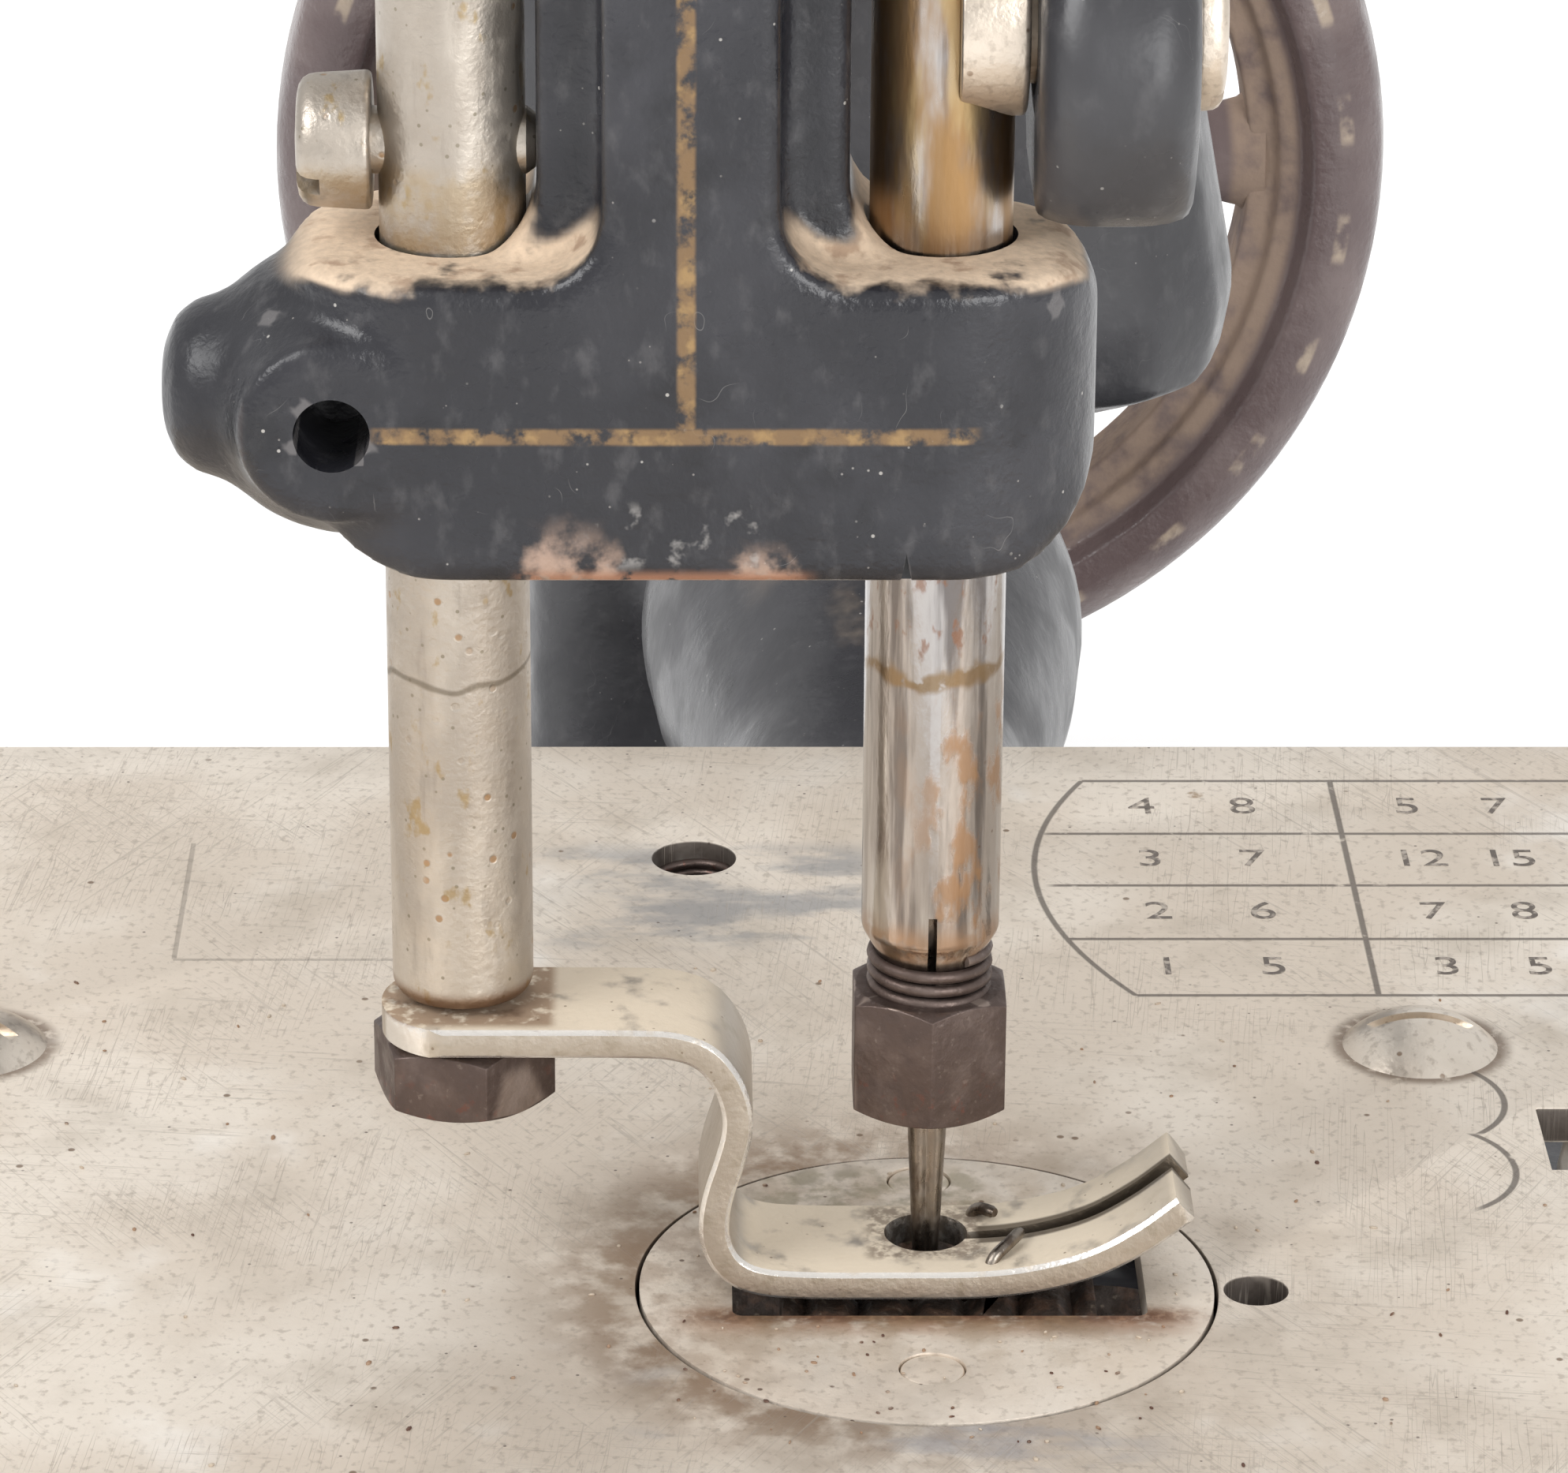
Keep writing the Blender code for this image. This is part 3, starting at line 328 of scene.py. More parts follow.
def make_wheel_japan():
    f = Finish("japan_wheel", (0.135, 0.098, 0.096), 0.24, 0.0)
    f.tint((0.23, 0.18, 0.17), f.noise(9, 4).rise(0.4, 0.7) * 0.6)
    f.dull(0.45, f.noise(5, 4, shift=2).rise(0.4, 0.7) * 0.7)
    out_y, out_z = f.y - NEEDLE_Y, f.z - SHAFT_Z
    radius = f.apart(out_y, out_z)
    around = f.node("Math", {"operation": "ARCTAN2"}, {0: out_z, 1: out_y})
    f.tint((0.33, 0.24, 0.18), radius.rise(36.4, 35.4) * radius.rise(30.5, 31.5)
           * f.noise(3, 4).rise(0.2, 0.6) * 0.9)
    turns = f.node("Math", {"operation": "FRACT"}, {0: around * (26 / math.tau) + 20.0})
    dash = turns.band(0.5, 0.14, 0.1) * radius.band(39.6, 0.35, 0.35) * f.x.rise(210, 209)
    f.tint((0.50, 0.40, 0.30), dash * f.noise(4.5, 4).rise(0.46, 0.60) * 0.75)
    f.tint((0.4, 0.37, 0.34), f.specks(1.8, 0.15, 0.4) * 0.6)
    f.dull(0.85, radius.rise(36.2, 35.6))
    return f.done(f.noise(2.5, 4) * 0.8 + f.noise(0.6, 2) * 0.2, 0.25)


JAPAN_WHEEL = make_wheel_japan()
print("wheel japan:", JAPAN_WHEEL.name)

# %% [markdown]
# ## Nickel
# The plate is nickel on steel. It is bright only in patches: most of it is a warm satin grey, crossed by
# hair scratches, freckled with brown, stained blue-grey where fingers and oil stayed, and rust-brown in
# the dirt ring round the needle plate. The engraved rules are thin dark lines on the same surface.

# %% Plate nickel


def engraved(f):
    """Thin engraved lines: the ruled table and the scalloped frame of the dial window."""
    def row(x):
        return f.x.band(x, 0.10, 0.10)

    in_table = f.y.rise(-18.5, -19.5) * f.y.rise(-80.5, -80.0)
    rows = row(30.0).most(row(37.0)).most(row(43.9)).most(row(50.8)).most(row(58.1))
    bulge = (f.x - 45.2) * (f.x - 45.2) * (-1 / 52.0)
    inside = (f.y - (bulge - 18.2)).rise(0.05, -0.05)
    across = f.x.rise(29.9, 30.0) * f.x.rise(58.2, 58.1)
    arc = (f.y - (bulge - 18.2)).size().rise(0.22, 0.10) * across
    upright = f.y.band(-35.1, 0.10, 0.10).most(f.y.band(-80.2, 0.10, 0.10)) * across
    table = (rows * inside * in_table).most(arc).most(upright)

    def ring(cx, cy, radius, keep):
        return f.apart(f.x - cx, f.y - cy).band(radius, 0.10, 0.10) * keep

    scallop = ring(17.6, -35.0, 5.1, f.y.rise(-37.0, -38.0) * f.x.rise(13.7, 14.0)).most(
        ring(10.0, -34.6, 5.2, f.y.rise(-37.0, -38.0) * f.x.rise(14.0, 13.7)))
    faint = f.y.band(27.0, 0.08, 0.1) * f.x.rise(34.4, 34.6) * f.x.rise(49.6, 49.4)
    faint = faint.most(f.x.band(34.4, 0.08, 0.1) * f.y.rise(15.3, 15.5) * f.y.rise(27.1, 27.0))
    return table.most(scallop).most(faint * 0.45)


def nickel_base(name, roughness, metallic=0.5):
    f = Finish(name, (0.74, 0.65, 0.55), roughness, metallic)
    f.tint((0.86, 0.785, 0.69), f.noise(18, 5).rise(0.44, 0.62) * 0.8)
    f.tint((0.50, 0.43, 0.345), f.noise(8, 6, shift=4).rise(0.50, 0.76) * 0.5)
    f.tint((0.42, 0.355, 0.29), f.noise(0.5, 4, shift=6).rise(0.52, 0.70) * 0.5)
    return f


def make_plate_nickel():
    f = nickel_base("nickel_plate", 0.56)
    away = f.apart(f.x - SEAT[0], f.y - SEAT[1])
    # dirt ring outside the needle plate, darkest on the presser side
    ragged = f.noise(2.4, 5, shift=2)
    ring = away.rise(20.5, 13.9) * away.rise(13.0, 13.8) * (f.y + 16).rise(-12, 14)
    f.tint((0.27, 0.17, 0.10), ring * ragged.rise(0.33, 0.58) * 0.85)
    f.tint((0.42, 0.34, 0.26), away.rise(26, 13) * f.noise(5, 5, shift=9).rise(0.42, 0.66) * 0.4)
    # blue-grey stains by the threaded hole and in front of the needle
    blue_far = (f.x.band(42.5, 4.5, 3.5) * f.y.band(-1.0, 6.5, 5.0)
                * f.noise(3.6, 5, (1, 2.4, 1), 5).rise(0.45, 0.62))
    blue_near = (f.x.band(-16, 5.0, 4.0) * f.y.band(-9.0, 8.0, 6.0)
                 * f.noise(4.0, 5, (1, 2.4, 1), 7).rise(0.50, 0.66))
    f.tint((0.27, 0.28, 0.30), blue_far * 0.65)
    f.tint((0.38, 0.38, 0.41), blue_near * 0.6)
    # brown freckles and pits
    f.tint((0.20, 0.13, 0.08), f.specks(2.3, 0.22, 0.5) * 0.85)
    f.tint((0.14, 0.10, 0.08), f.specks(1.1, 0.10, 0.5, 3) * 0.8)
    f.tint((0.34, 0.22, 0.12), f.specks(5.0, 0.55, 0.42, 8) * f.noise(0.5, 3).rise(0.3, 0.6) * 0.8)
    # dirt that has crept round the screws, with a painted shadow round each screw head, and painted shade on
    # the walls of the holes
    for y in (-PLATE_SCREW_Y, PLATE_SCREW_Y):
        # dark ring round the screw head: real dirt and a painted contact shadow
        rim = f.apart(f.x - PLATE_SCREW_X, f.y - y)
        f.tint((0.20, 0.14, 0.10), rim.rise(4.9, 4.0) * f.noise(0.8, 4, shift=y).rise(0.25, 0.5) * 0.8)
    # painted shade: the walls of the holes are tinted near black, as shade falls inside them
    hole_wall_shade = f.side("Z").size().rise(0.5, 0.2) * f.x.size().rise(62.5, 61) * f.y.size().rise(88.5, 87)
    f.tint((0.045, 0.032, 0.026), hole_wall_shade * 0.92)
    # worn bright patches
    bright = f.noise(15, 5, shift=13).rise(0.56, 0.70)
    f.tint((0.98, 0.93, 0.86), bright * 0.75)
    f.dull(0.40, bright * 0.8)
    f.dull(0.56, f.noise(3.2, 5, shift=15).rise(0.45, 0.75))
    lines = f.scratches(0.5, 26, 0.55).most(f.scratches(1.7, 20, 0.5, 4)).most(f.scratches(2.6, 30, 0.6, 9))
    lines = lines.most(f.scratches(0.1, 14, 0.4, 13)).most(f.scratches(-0.6, 18, 0.45, 17))
    f.tint((0.46, 0.40, 0.34), lines * 0.5)
    cut = engraved(f) * f.noise(1.2, 3).rise(0.22, 0.4)
    f.tint((0.13, 0.11, 0.095), cut * 0.8)
    height = f.noise(0.35, 4) * 0.22 + f.noise(6, 3, shift=2) * 0.35 - lines * 0.15 - cut * 0.6
    return f.done(height, 0.09)


def make_needle_plate_nickel():
    f = nickel_base("nickel_needle_plate", 0.42)
    slot_y = (f.y - (NEEDLE_Y - 0.5)).size().rise(13.5, 9.4)
    near = f.x.rise(-8.2, -5.4) * f.x.rise(-4.0, -5.3) * slot_y
    f.tint((0.36, 0.18, 0.09), near * f.noise(1.1, 5, (1, 1.8, 1)).rise(0.28, 0.50) * 0.9)
    f.tint((0.20, 0.10, 0.06), near * f.x.rise(-6.3, -5.5) * f.noise(0.5, 4, shift=3).rise(0.35, 0.55) * 0.9)
    around = f.x.rise(-13, -5) * f.x.rise(14, 4) * (f.y - NEEDLE_Y).size().rise(14, 5)
    f.tint((0.37, 0.26, 0.15), around * f.noise(2.4, 5, shift=7).rise(0.40, 0.62) * 0.5)
    left = f.y.rise(NEEDLE_Y + 4, NEEDLE_Y + 12) * f.noise(1.8, 5, shift=17).rise(0.38, 0.60)
    f.tint((0.30, 0.20, 0.13), left * 0.45)
    f.tint((0.30, 0.26, 0.17), f.x.band(7.0, 2.2, 1.4) * f.y.band(-8.5, 4.5, 2)
           * f.noise(1.5, 5).rise(0.4, 0.6) * 0.6)
    f.tint((0.15, 0.09, 0.06), f.specks(1.4, 0.16, 0.55) * 0.85)
    f.dull(0.66, f.noise(2, 5, shift=2).rise(0.4, 0.65) * 0.8)
    return f.done(f.noise(0.4, 4) * 0.4 + f.noise(3, 3) * 0.4, 0.10)


def make_small_nickel():
    f = nickel_base("nickel_small", 0.32, 0.88)
    f.tint((0.24, 0.15, 0.09), f.specks(1.2, 0.17, 0.5) * 0.8)
    f.tint((0.30, 0.22, 0.15), f.edges(0.47, 0.40) * 0.7)
    f.dull(0.5, f.noise(2, 4).rise(0.4, 0.7))
    return f.done(f.noise(0.4, 4) * 0.5 + f.noise(2, 3) * 0.3, 0.06)


PLATE_NICKEL, NEEDLE_PLATE_NICKEL = make_plate_nickel(), make_needle_plate_nickel()
NICKEL = make_small_nickel()
print("nickel:", PLATE_NICKEL.name, NEEDLE_PLATE_NICKEL.name, NICKEL.name)

# %% [markdown]
# The presser bar is nickel that has pitted right through to orange spots. The needle bar is bare bright
# steel: dark streaks run along it, a wavy rust ring marks where a guide once sat, and above the head it is
# stained brown. Each is one finish, with height along the bar choosing what shows.

# %% Bars


def make_bar_nickel():
    f = Finish("nickel_bar", (0.44, 0.39, 0.335), 0.36, 0.85)
    f.tint((0.60, 0.545, 0.475), f.noise(3.5, 4, (1, 1, 3)).rise(0.42, 0.66) * 0.8)
    f.tint((0.30, 0.26, 0.22), f.noise(1.0, 4, (1, 1, 5), 3).rise(0.56, 0.74) * 0.5)
    f.tint((0.24, 0.21, 0.15), f.specks(0.75, 0.11, 0.6) * 0.75)
    f.tint((0.36, 0.20, 0.08), f.specks(1.3, 0.22, 0.5, 6) * 0.75)
    f.tint((0.36, 0.25, 0.10), f.noise(1.7, 4, (1, 1, 1.5), 9).rise(0.60, 0.68) * 0.7)
    ring = (f.z - (PLATE + 30.6) + (f.noise(3.0, 1, shift=4) - 0.5) * 1.6).size().rise(0.22, 0.05)
    f.tint((0.17, 0.14, 0.10), ring * 0.7)
    f.tint((0.20, 0.10, 0.04), f.z.rise(PLATE + 15.6, PLATE + 14.9) * 0.8)
    f.tint((0.42, 0.33, 0.22), f.z.band(PLATE + 52.5, 1.6, 1.2) * f.noise(1.2, 4).rise(0.3, 0.6) * 0.8)
    f.dull(0.55, f.noise(1.5, 4, shift=12).rise(0.4, 0.7))
    return f.done(f.noise(0.35, 4) * 0.6 + f.noise(1.5, 3) * 0.4 - f.specks(1.3, 0.24, 0.55, 6) * 0.3, 0.07)


def make_bar_steel():
    f = Finish("steel_bar", (0.46, 0.435, 0.42), 0.18, 1.0)
    f.tint((0.13, 0.115, 0.11), f.noise(1.4, 5, (1, 1, 12)).rise(0.46, 0.62) * 0.85)
    f.tint((0.72, 0.70, 0.68), f.noise(1.3, 4, (1, 1, 12), 5).rise(0.54, 0.66) * 0.7)
    ring = (f.z - (PLATE + 30.9) + (f.noise(2.4, 2, shift=4) - 0.5) * 2.6).size()
    f.tint((0.25, 0.17, 0.09), ring.rise(0.55, 0.12) * f.noise(0.7, 3).rise(0.28, 0.45) * 0.85)
    side = (f.y - NEEDLE_Y).rise(2.4, -1.0)
    patch = f.z.band(PLATE + 23.0, 4.5, 4.5) * f.noise(1.3, 5, (1, 1, 2.2), 7).rise(0.47, 0.62) * side
    f.tint((0.38, 0.22, 0.11), patch * 0.8)
    f.tint((0.24, 0.12, 0.07),
           f.z.band(PLATE + 34.5, 2.2, 1.2) * f.noise(0.8, 4, (1, 1, 2)).rise(0.56, 0.66) * 0.7)
    f.tint((0.16, 0.09, 0.06), f.specks(0.8, 0.12, 0.35) * 0.8)
    collar = f.z.rise(PLATE + 19.2, PLATE + 17.8) * f.z.rise(PLATE + 16.2, PLATE + 16.9)
    f.tint((0.42, 0.27, 0.17), collar * f.noise(1.1, 4).rise(0.25, 0.55) * 0.75)
    brown = f.z.rise(PLATE + 48.5, PLATE + 52.5) * f.noise(2.2, 4, (1, 1, 3.6), 3).rise(0.30, 0.60)
    f.tint((0.36, 0.21, 0.085), brown * 0.9)
    f.tint((0.45, 0.33, 0.17),
           f.z.rise(PLATE + 50, PLATE + 53) * f.noise(1.6, 3, (1, 1, 5), 9).rise(0.5, 0.65) * 0.7)
    thread = f.z.rise(PLATE + 16.9, PLATE + 16.5)
    f.tint((0.075, 0.06, 0.05), thread * 0.9)
    f.dull(0.42, (brown + patch).least(1.0))
    return f.done(f.noise(0.5, 4, (1, 1, 3)) * 0.5 + patch * 0.3, 0.05)


def make_dark_steel():
    f = Finish("steel_dark", (0.105, 0.076, 0.066), 0.40, 0.75)
    f.tint((0.17, 0.13, 0.115), f.noise(2.0, 4).rise(0.45, 0.7) * 0.7)
    f.tint((0.20, 0.065, 0.042), f.z.rise(PLATE + 12.0, PLATE + 9.0) * f.noise(0.6, 5).rise(0.56, 0.68) * 0.6)
    f.tint((0.30, 0.25, 0.22), f.noise(0.4, 5, shift=5).rise(0.60, 0.74) * 0.35)
    f.tint((0.36, 0.29, 0.25), f.edges(0.56, 0.66) * 0.7)
    f.dull(0.62, f.noise(1.1, 4, shift=3).rise(0.4, 0.7))
    return f.done(f.noise(0.4, 4) * 0.6 + f.noise(2, 3) * 0.3, 0.08)


def make_plain_steel():
    f = Finish("steel_plain", (0.42, 0.39, 0.36), 0.30, 0.95)
    f.tint((0.62, 0.58, 0.53), f.noise(3, 4).rise(0.5, 0.7) * 0.7)
    f.tint((0.26, 0.16, 0.10), f.noise(1.6, 5, shift=4).rise(0.54, 0.68) * 0.75)
    f.tint((0.13, 0.09, 0.07), f.specks(1.2, 0.16, 0.5) * 0.8)
    f.dull(0.55, f.noise(2.2, 4, shift=6).rise(0.4, 0.7))
    return f.done(f.noise(0.5, 4) * 0.5 + f.noise(3, 3) * 0.4, 0.07)


def make_needle_steel():
    f = Finish("steel_needle", (0.27, 0.235, 0.20), 0.26, 1.0)
    f.tint((0.09, 0.065, 0.05), f.noise(0.9, 4, (1, 1, 3)).rise(0.46, 0.62) * 0.8)
    f.dull(0.5, f.noise(0.7, 3).rise(0.4, 0.7))
    return f.done(f.noise(0.3, 3, (1, 1, 3)), 0.03)


def make_greasy_steel():
    f = Finish("steel_greasy", (0.035, 0.022, 0.015), 0.5, 0.3)
    f.tint((0.10, 0.055, 0.035), f.noise(1.2, 5).rise(0.48, 0.66) * 0.8)
    f.tint((0.20, 0.16, 0.12), f.noise(0.5, 4, shift=5).rise(0.6, 0.7) * 0.5)
    f.dull(0.8, f.noise(0.9, 4, shift=3).rise(0.4, 0.6))
    return f.done(f.noise(0.4, 5), 0.15)


GREASY_STEEL = make_greasy_steel()
BAR_NICKEL, BAR_STEEL, DARK_STEEL = make_bar_nickel(), make_bar_steel(), make_dark_steel()
STEEL, NEEDLE_STEEL = make_plain_steel(), make_needle_steel()
print("metals:", BAR_NICKEL.name, BAR_STEEL.name, DARK_STEEL.name, STEEL.name, NEEDLE_STEEL.name)

# %% [markdown]
# The presser foot is a bent nickel strip. Lint and tan dust lie on its level parts, its corners shine
# where cloth rubbed them and carry a painted highlight, and the thread groove in the toe is brown. The
# bushes are bronze, the spool stands on felt, and the stitch dial is a soft white metal.

# %% Foot, bronze, felt and dial metal


def make_foot_nickel():
    f = Finish("nickel_foot", (0.46, 0.405, 0.34), 0.42, 0.80)
    f.tint((0.53, 0.48, 0.415), f.noise(3.2, 4).rise(0.45, 0.7) * 0.8)
    f.tint((0.36, 0.31, 0.24), f.noise(1.1, 5, shift=4).rise(0.52, 0.70) * 0.6)
    dust = f.up().rise(0.55, 0.95) * f.noise(1.8, 5, shift=7).rise(0.22, 0.48)
    f.tint((0.74, 0.64, 0.50), dust * 0.8)
    f.dull(0.85, dust * 0.9)
    f.strip(dust * 0.7)
    f.tint((0.22, 0.16, 0.11), f.specks(0.6, 0.09, 0.45) * 0.75)
    # painted highlight on the strip's rounded corners, laid over the shine where cloth rubbed them
    corner_highlight_and_rub = f.side("X").size().band(0.62, 0.22, 0.12) * f.noise(1.5, 3, shift=5).rise(0.25, 0.45)
    f.tint((0.80, 0.77, 0.73), corner_highlight_and_rub * 0.85)
    f.dull(0.22, corner_highlight_and_rub)
    crease = f.z.rise(PLATE + 15.3, PLATE + 14.2) * f.z.rise(PLATE + 13.9, PLATE + 14.2)
    near_bar = f.y.band(PRESSER_Y, 3.9, 0.6) * f.x.size().rise(4.3, 3.5)
    f.tint((0.20, 0.10, 0.04), crease * near_bar * f.noise(0.8, 3).rise(0.3, 0.5) * 0.75)
    eye = f.z.rise(PLATE + 3.2, PLATE + 2.4) * f.y.band(NEEDLE_Y, 2.4, 0.8) * f.x.band(-0.2, 2.3, 0.8)
    f.tint((0.20, 0.15, 0.11), eye * f.noise(0.5, 4).rise(0.35, 0.6) * 0.75)
    groove = f.x.band(-0.55, 0.75, 0.25) * f.y.rise(-12.9, -13.4)
    f.tint((0.10, 0.075, 0.05), groove * 0.9)
    return f.done(f.noise(0.35, 4) * 0.6 + f.noise(1.6, 3) * 0.4, 0.07)


def make_bronze():
    f = Finish("bronze_worn", (0.45, 0.29, 0.13), 0.38, 1.0)
    f.tint((0.24, 0.15, 0.07), f.noise(2.5, 4).rise(0.45, 0.7) * 0.8)
    f.dull(0.6, f.noise(1.5, 4, shift=2).rise(0.45, 0.7))
    return f.done(f.noise(0.6, 4), 0.05)


def make_felt():
    f = Finish("felt_red", (0.25, 0.035, 0.04), 0.95, 0.0)
    f.tint((0.36, 0.07, 0.065), f.noise(0.5, 5, (1, 1, 0.6)).rise(0.45, 0.65))
    f.tint((0.12, 0.02, 0.025), f.noise(0.9, 4, shift=5).rise(0.55, 0.7))
    return f.done(f.noise(0.22, 5, (2.5, 0.7, 1)), 0.35)


def make_dial_metal():
    f = nickel_base("dial_white_metal", 0.38)
    f.tint((0.80, 0.77, 0.72), f.noise(8, 4, shift=3).rise(0.40, 0.6) * 0.8)
    f.tint((0.25, 0.20, 0.15), f.specks(1.2, 0.14, 0.45) * 0.8)
    return f.done(f.noise(0.4, 4) * 0.5 + f.noise(3, 3) * 0.3, 0.05)


def make_ink():
    f = Finish("engraving_black", (0.13, 0.11, 0.095), 0.7, 0.0)
    f.tint((0.40, 0.35, 0.30), f.noise(0.6, 4).rise(0.46, 0.62))
    return f.done(f.noise(0.3, 3), 0.02)


def make_dust():
    f = Finish("dust_grit", (0.30, 0.19, 0.12), 0.95, 0.0)
    f.tint((0.50, 0.42, 0.33), f.noise(4, 3).rise(0.45, 0.55))
    f.tint((0.10, 0.05, 0.035), f.noise(3, 3, shift=6).rise(0.52, 0.6))
    return f.done(f.noise(0.2, 3), 0.05)


FOOT_NICKEL, BRONZE, FELT, DIAL = make_foot_nickel(), make_bronze(), make_felt(), make_dial_metal()
INK, DUST = make_ink(), make_dust()
print("others:", FOOT_NICKEL.name, BRONZE.name, FELT.name, DIAL.name, INK.name, DUST.name)

# %% [markdown]
# ## Mesh helpers
# Nearly every piece is a turned shape, a flat plate or a row of sections. Each helper makes a closed mesh
# from a short list of numbers. A lathe profile is pairs of radius and distance along the axis.

# %% Lathe, slab and loft
ALONG = {
    "X": lambda p, q, d: (d, p, q),
    "Y": lambda p, q, d: (q, d, p),
    "Z": lambda p, q, d: (p, q, d),
}


def object_from(name, bm):
    bmesh.ops.remove_doubles(bm, verts=bm.verts, dist=1e-4)
    bmesh.ops.recalc_face_normals(bm, faces=bm.faces)
    mesh = bpy.data.meshes.new(name)
    bm.to_mesh(mesh)
    bm.free()
    mesh.transform(((MM, 0, 0, 0), (0, MM, 0, 0), (0, 0, MM, 0), (0, 0, 0, 1)))
    obj = bpy.data.objects.new(name, mesh)
    bpy.context.scene.collection.objects.link(obj)
    return obj


def bridged(bm, rows, looped=False):
    """Faces between rows of vertices; a row of one vertex is a pole."""
    pairs = list(zip(rows, rows[1:])) + ([(rows[-1], rows[0])] if looped else [])
    for low, high in pairs:
        count = max(len(low), len(high))
        for k in range(count):
            after = (k + 1) % count
            corners = [low[k % len(low)], low[after % len(low)], high[after % len(high)], high[k % len(high)]]
            bm.faces.new(list(dict.fromkeys(corners)))


def lathe(name, profile, centre, axis="Z", steps=64, ring=False):
    bm = bmesh.new()
    rows = []
    for radius, along in profile:
        turns = 1 if radius < 1e-6 else steps
        row = []
        for k in range(turns):
            angle = math.tau * (k + 0.5) / steps
            spot = ALONG[axis](radius * math.cos(angle), radius * math.sin(angle), along)
            row.append(bm.verts.new(Vector(spot) + Vector(centre)))
        rows.append(row)
    bridged(bm, rows, ring)
    return object_from(name, bm)


def soft_profile(corners, steps=3):
    """Rounds each corner (radius, along, fillet) of an open lathe profile."""
    points = []
    for k, (u, v, fillet) in enumerate(corners):
        here = Vector((u, v))
        if not fillet:
            points.append((u, v))
            continue
        start = here + (Vector(corners[k - 1][:2]) - here).normalized() * fillet
        end = here + (Vector(corners[(k + 1) % len(corners)][:2]) - here).normalized() * fillet
        for s in range(steps + 1):
            t = s / steps
            spot = start.lerp(here, t).lerp(here.lerp(end, t), t)
            points.append((spot.x, spot.y))
    return points


def loft(name, rings):
    """Skin over rings of equal length, with both ends closed."""
    bm = bmesh.new()
    rows = [[bm.verts.new(spot) for spot in ring] for ring in rings]
    bridged(bm, rows)
    bm.faces.new(rows[0])
    bm.faces.new(rows[-1])
    return object_from(name, bm)


def slab(name, outline, plane, low, high):
    """Flat plate: outline is (u, v) points in the plane, from low to high along the third axis."""
    place = {
        "XY": lambda u, v, h: (u, v, h),
        "XZ": lambda u, v, h: (u, h, v),
        "YZ": lambda u, v, h: (h, u, v),
    }[plane]
    return loft(name, [[place(u, v, h) for u, v in outline] for h in (low, high)])


def hull(discs):
    """Outline around discs (u, v, radius)."""
    sides = 64
    points = sorted({
        (round(u + r * math.cos(math.tau * k / sides), 5), round(v + r * math.sin(math.tau * k / sides), 5))
        for u, v, r in discs for k in range(sides)
    })

    def chain(row):
        kept = []
        for p in row:
            while len(kept) > 1 and ((kept[-1][0] - kept[-2][0]) * (p[1] - kept[-2][1])
                                     - (kept[-1][1] - kept[-2][1]) * (p[0] - kept[-2][0])) <= 1e-7:
                kept.pop()
            kept.append(p)
        return kept[:-1]

    return chain(points) + chain(points[::-1])


print("mesh helpers ready")

# %% [markdown]
# Holes and joins are Boolean modifiers, rims are Bevel modifiers. A modifier is only a plan until the
# evaluated object is read back as a mesh, so one helper does that and clears the stack.

# %% Modifiers made permanent


def settle(obj):
    graph = bpy.context.evaluated_depsgraph_get()
    mesh = bpy.data.meshes.new_from_object(obj.evaluated_get(graph))
    before = obj.data
    obj.modifiers.clear()
    obj.data = mesh
    bpy.data.meshes.remove(before)
    return obj


def combined(obj, tools, operation):
    for tool in tools:
        modifier = obj.modifiers.new("join", "BOOLEAN")
        modifier.operation = operation
        modifier.solver = "EXACT"
        modifier.object = tool
    settle(obj)
    for tool in tools:
        bpy.data.objects.remove(tool)
    return obj


def cut(obj, *tools):
    return combined(obj, tools, "DIFFERENCE")


def fuse(obj, *tools):
    return combined(obj, tools, "UNION")


def bevelled(obj, width, segments=3, angle=30):
    modifier = obj.modifiers.new("rim", "BEVEL")
    modifier.width = width * MM
    modifier.segments = segments
    modifier.limit_method = "ANGLE"
    modifier.angle_limit = math.radians(angle)
    modifier.use_clamp_overlap = True
    return settle(obj)


def box(name, low, high):
    corners = [(low[0], low[1]), (high[0], low[1]), (high[0], high[1]), (low[0], high[1])]
    return slab(name, corners, "XY", low[2], high[2])


def rod(name, start, axis, length, radius, sides=48):
    return lathe(name, [(0, 0), (radius, 0), (radius, length), (0, length)], start, axis, sides)


def cast(obj, voxel, smoothing):
    """Melts overlapping shells into one skin with soft fillets, as a sand casting has."""
    modifier = obj.modifiers.new("skin", "REMESH")
    modifier.mode = "VOXEL"
    modifier.voxel_size = voxel * MM
    settle(obj)
    modifier = obj.modifiers.new("soften", "SMOOTH")
    modifier.factor = 0.5
    modifier.iterations = smoothing
    return settle(obj)


def joined(obj, *others):
    """Adds the others' shells to obj without a Boolean."""
    bm = bmesh.new()
    for each in (obj, *others):
        bm.from_mesh(each.data)
    bm.to_mesh(obj.data)
    bm.free()
    for other in others:
        bpy.data.objects.remove(other)
    return obj


def dressed(obj, finish, body, slot, *nodes, sharp=35):
    """Gives a finished mesh its finish, its body and the CAD nodes that it stands for."""
    obj.data.materials.clear()
    obj.data.materials.append(finish)
    obj.data.polygons.foreach_set("material_index", [0] * len(obj.data.polygons))
    obj.data.shade_smooth()
    if sharp:
        obj.data.set_sharp_from_angle(angle=math.radians(sharp))
    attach(obj, body)
    if nodes:
        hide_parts(*nodes)
    obj.data.calc_loop_triangles()
    print(f"{obj.name}: {len(obj.data.loop_triangles)} triangles")
    return obj


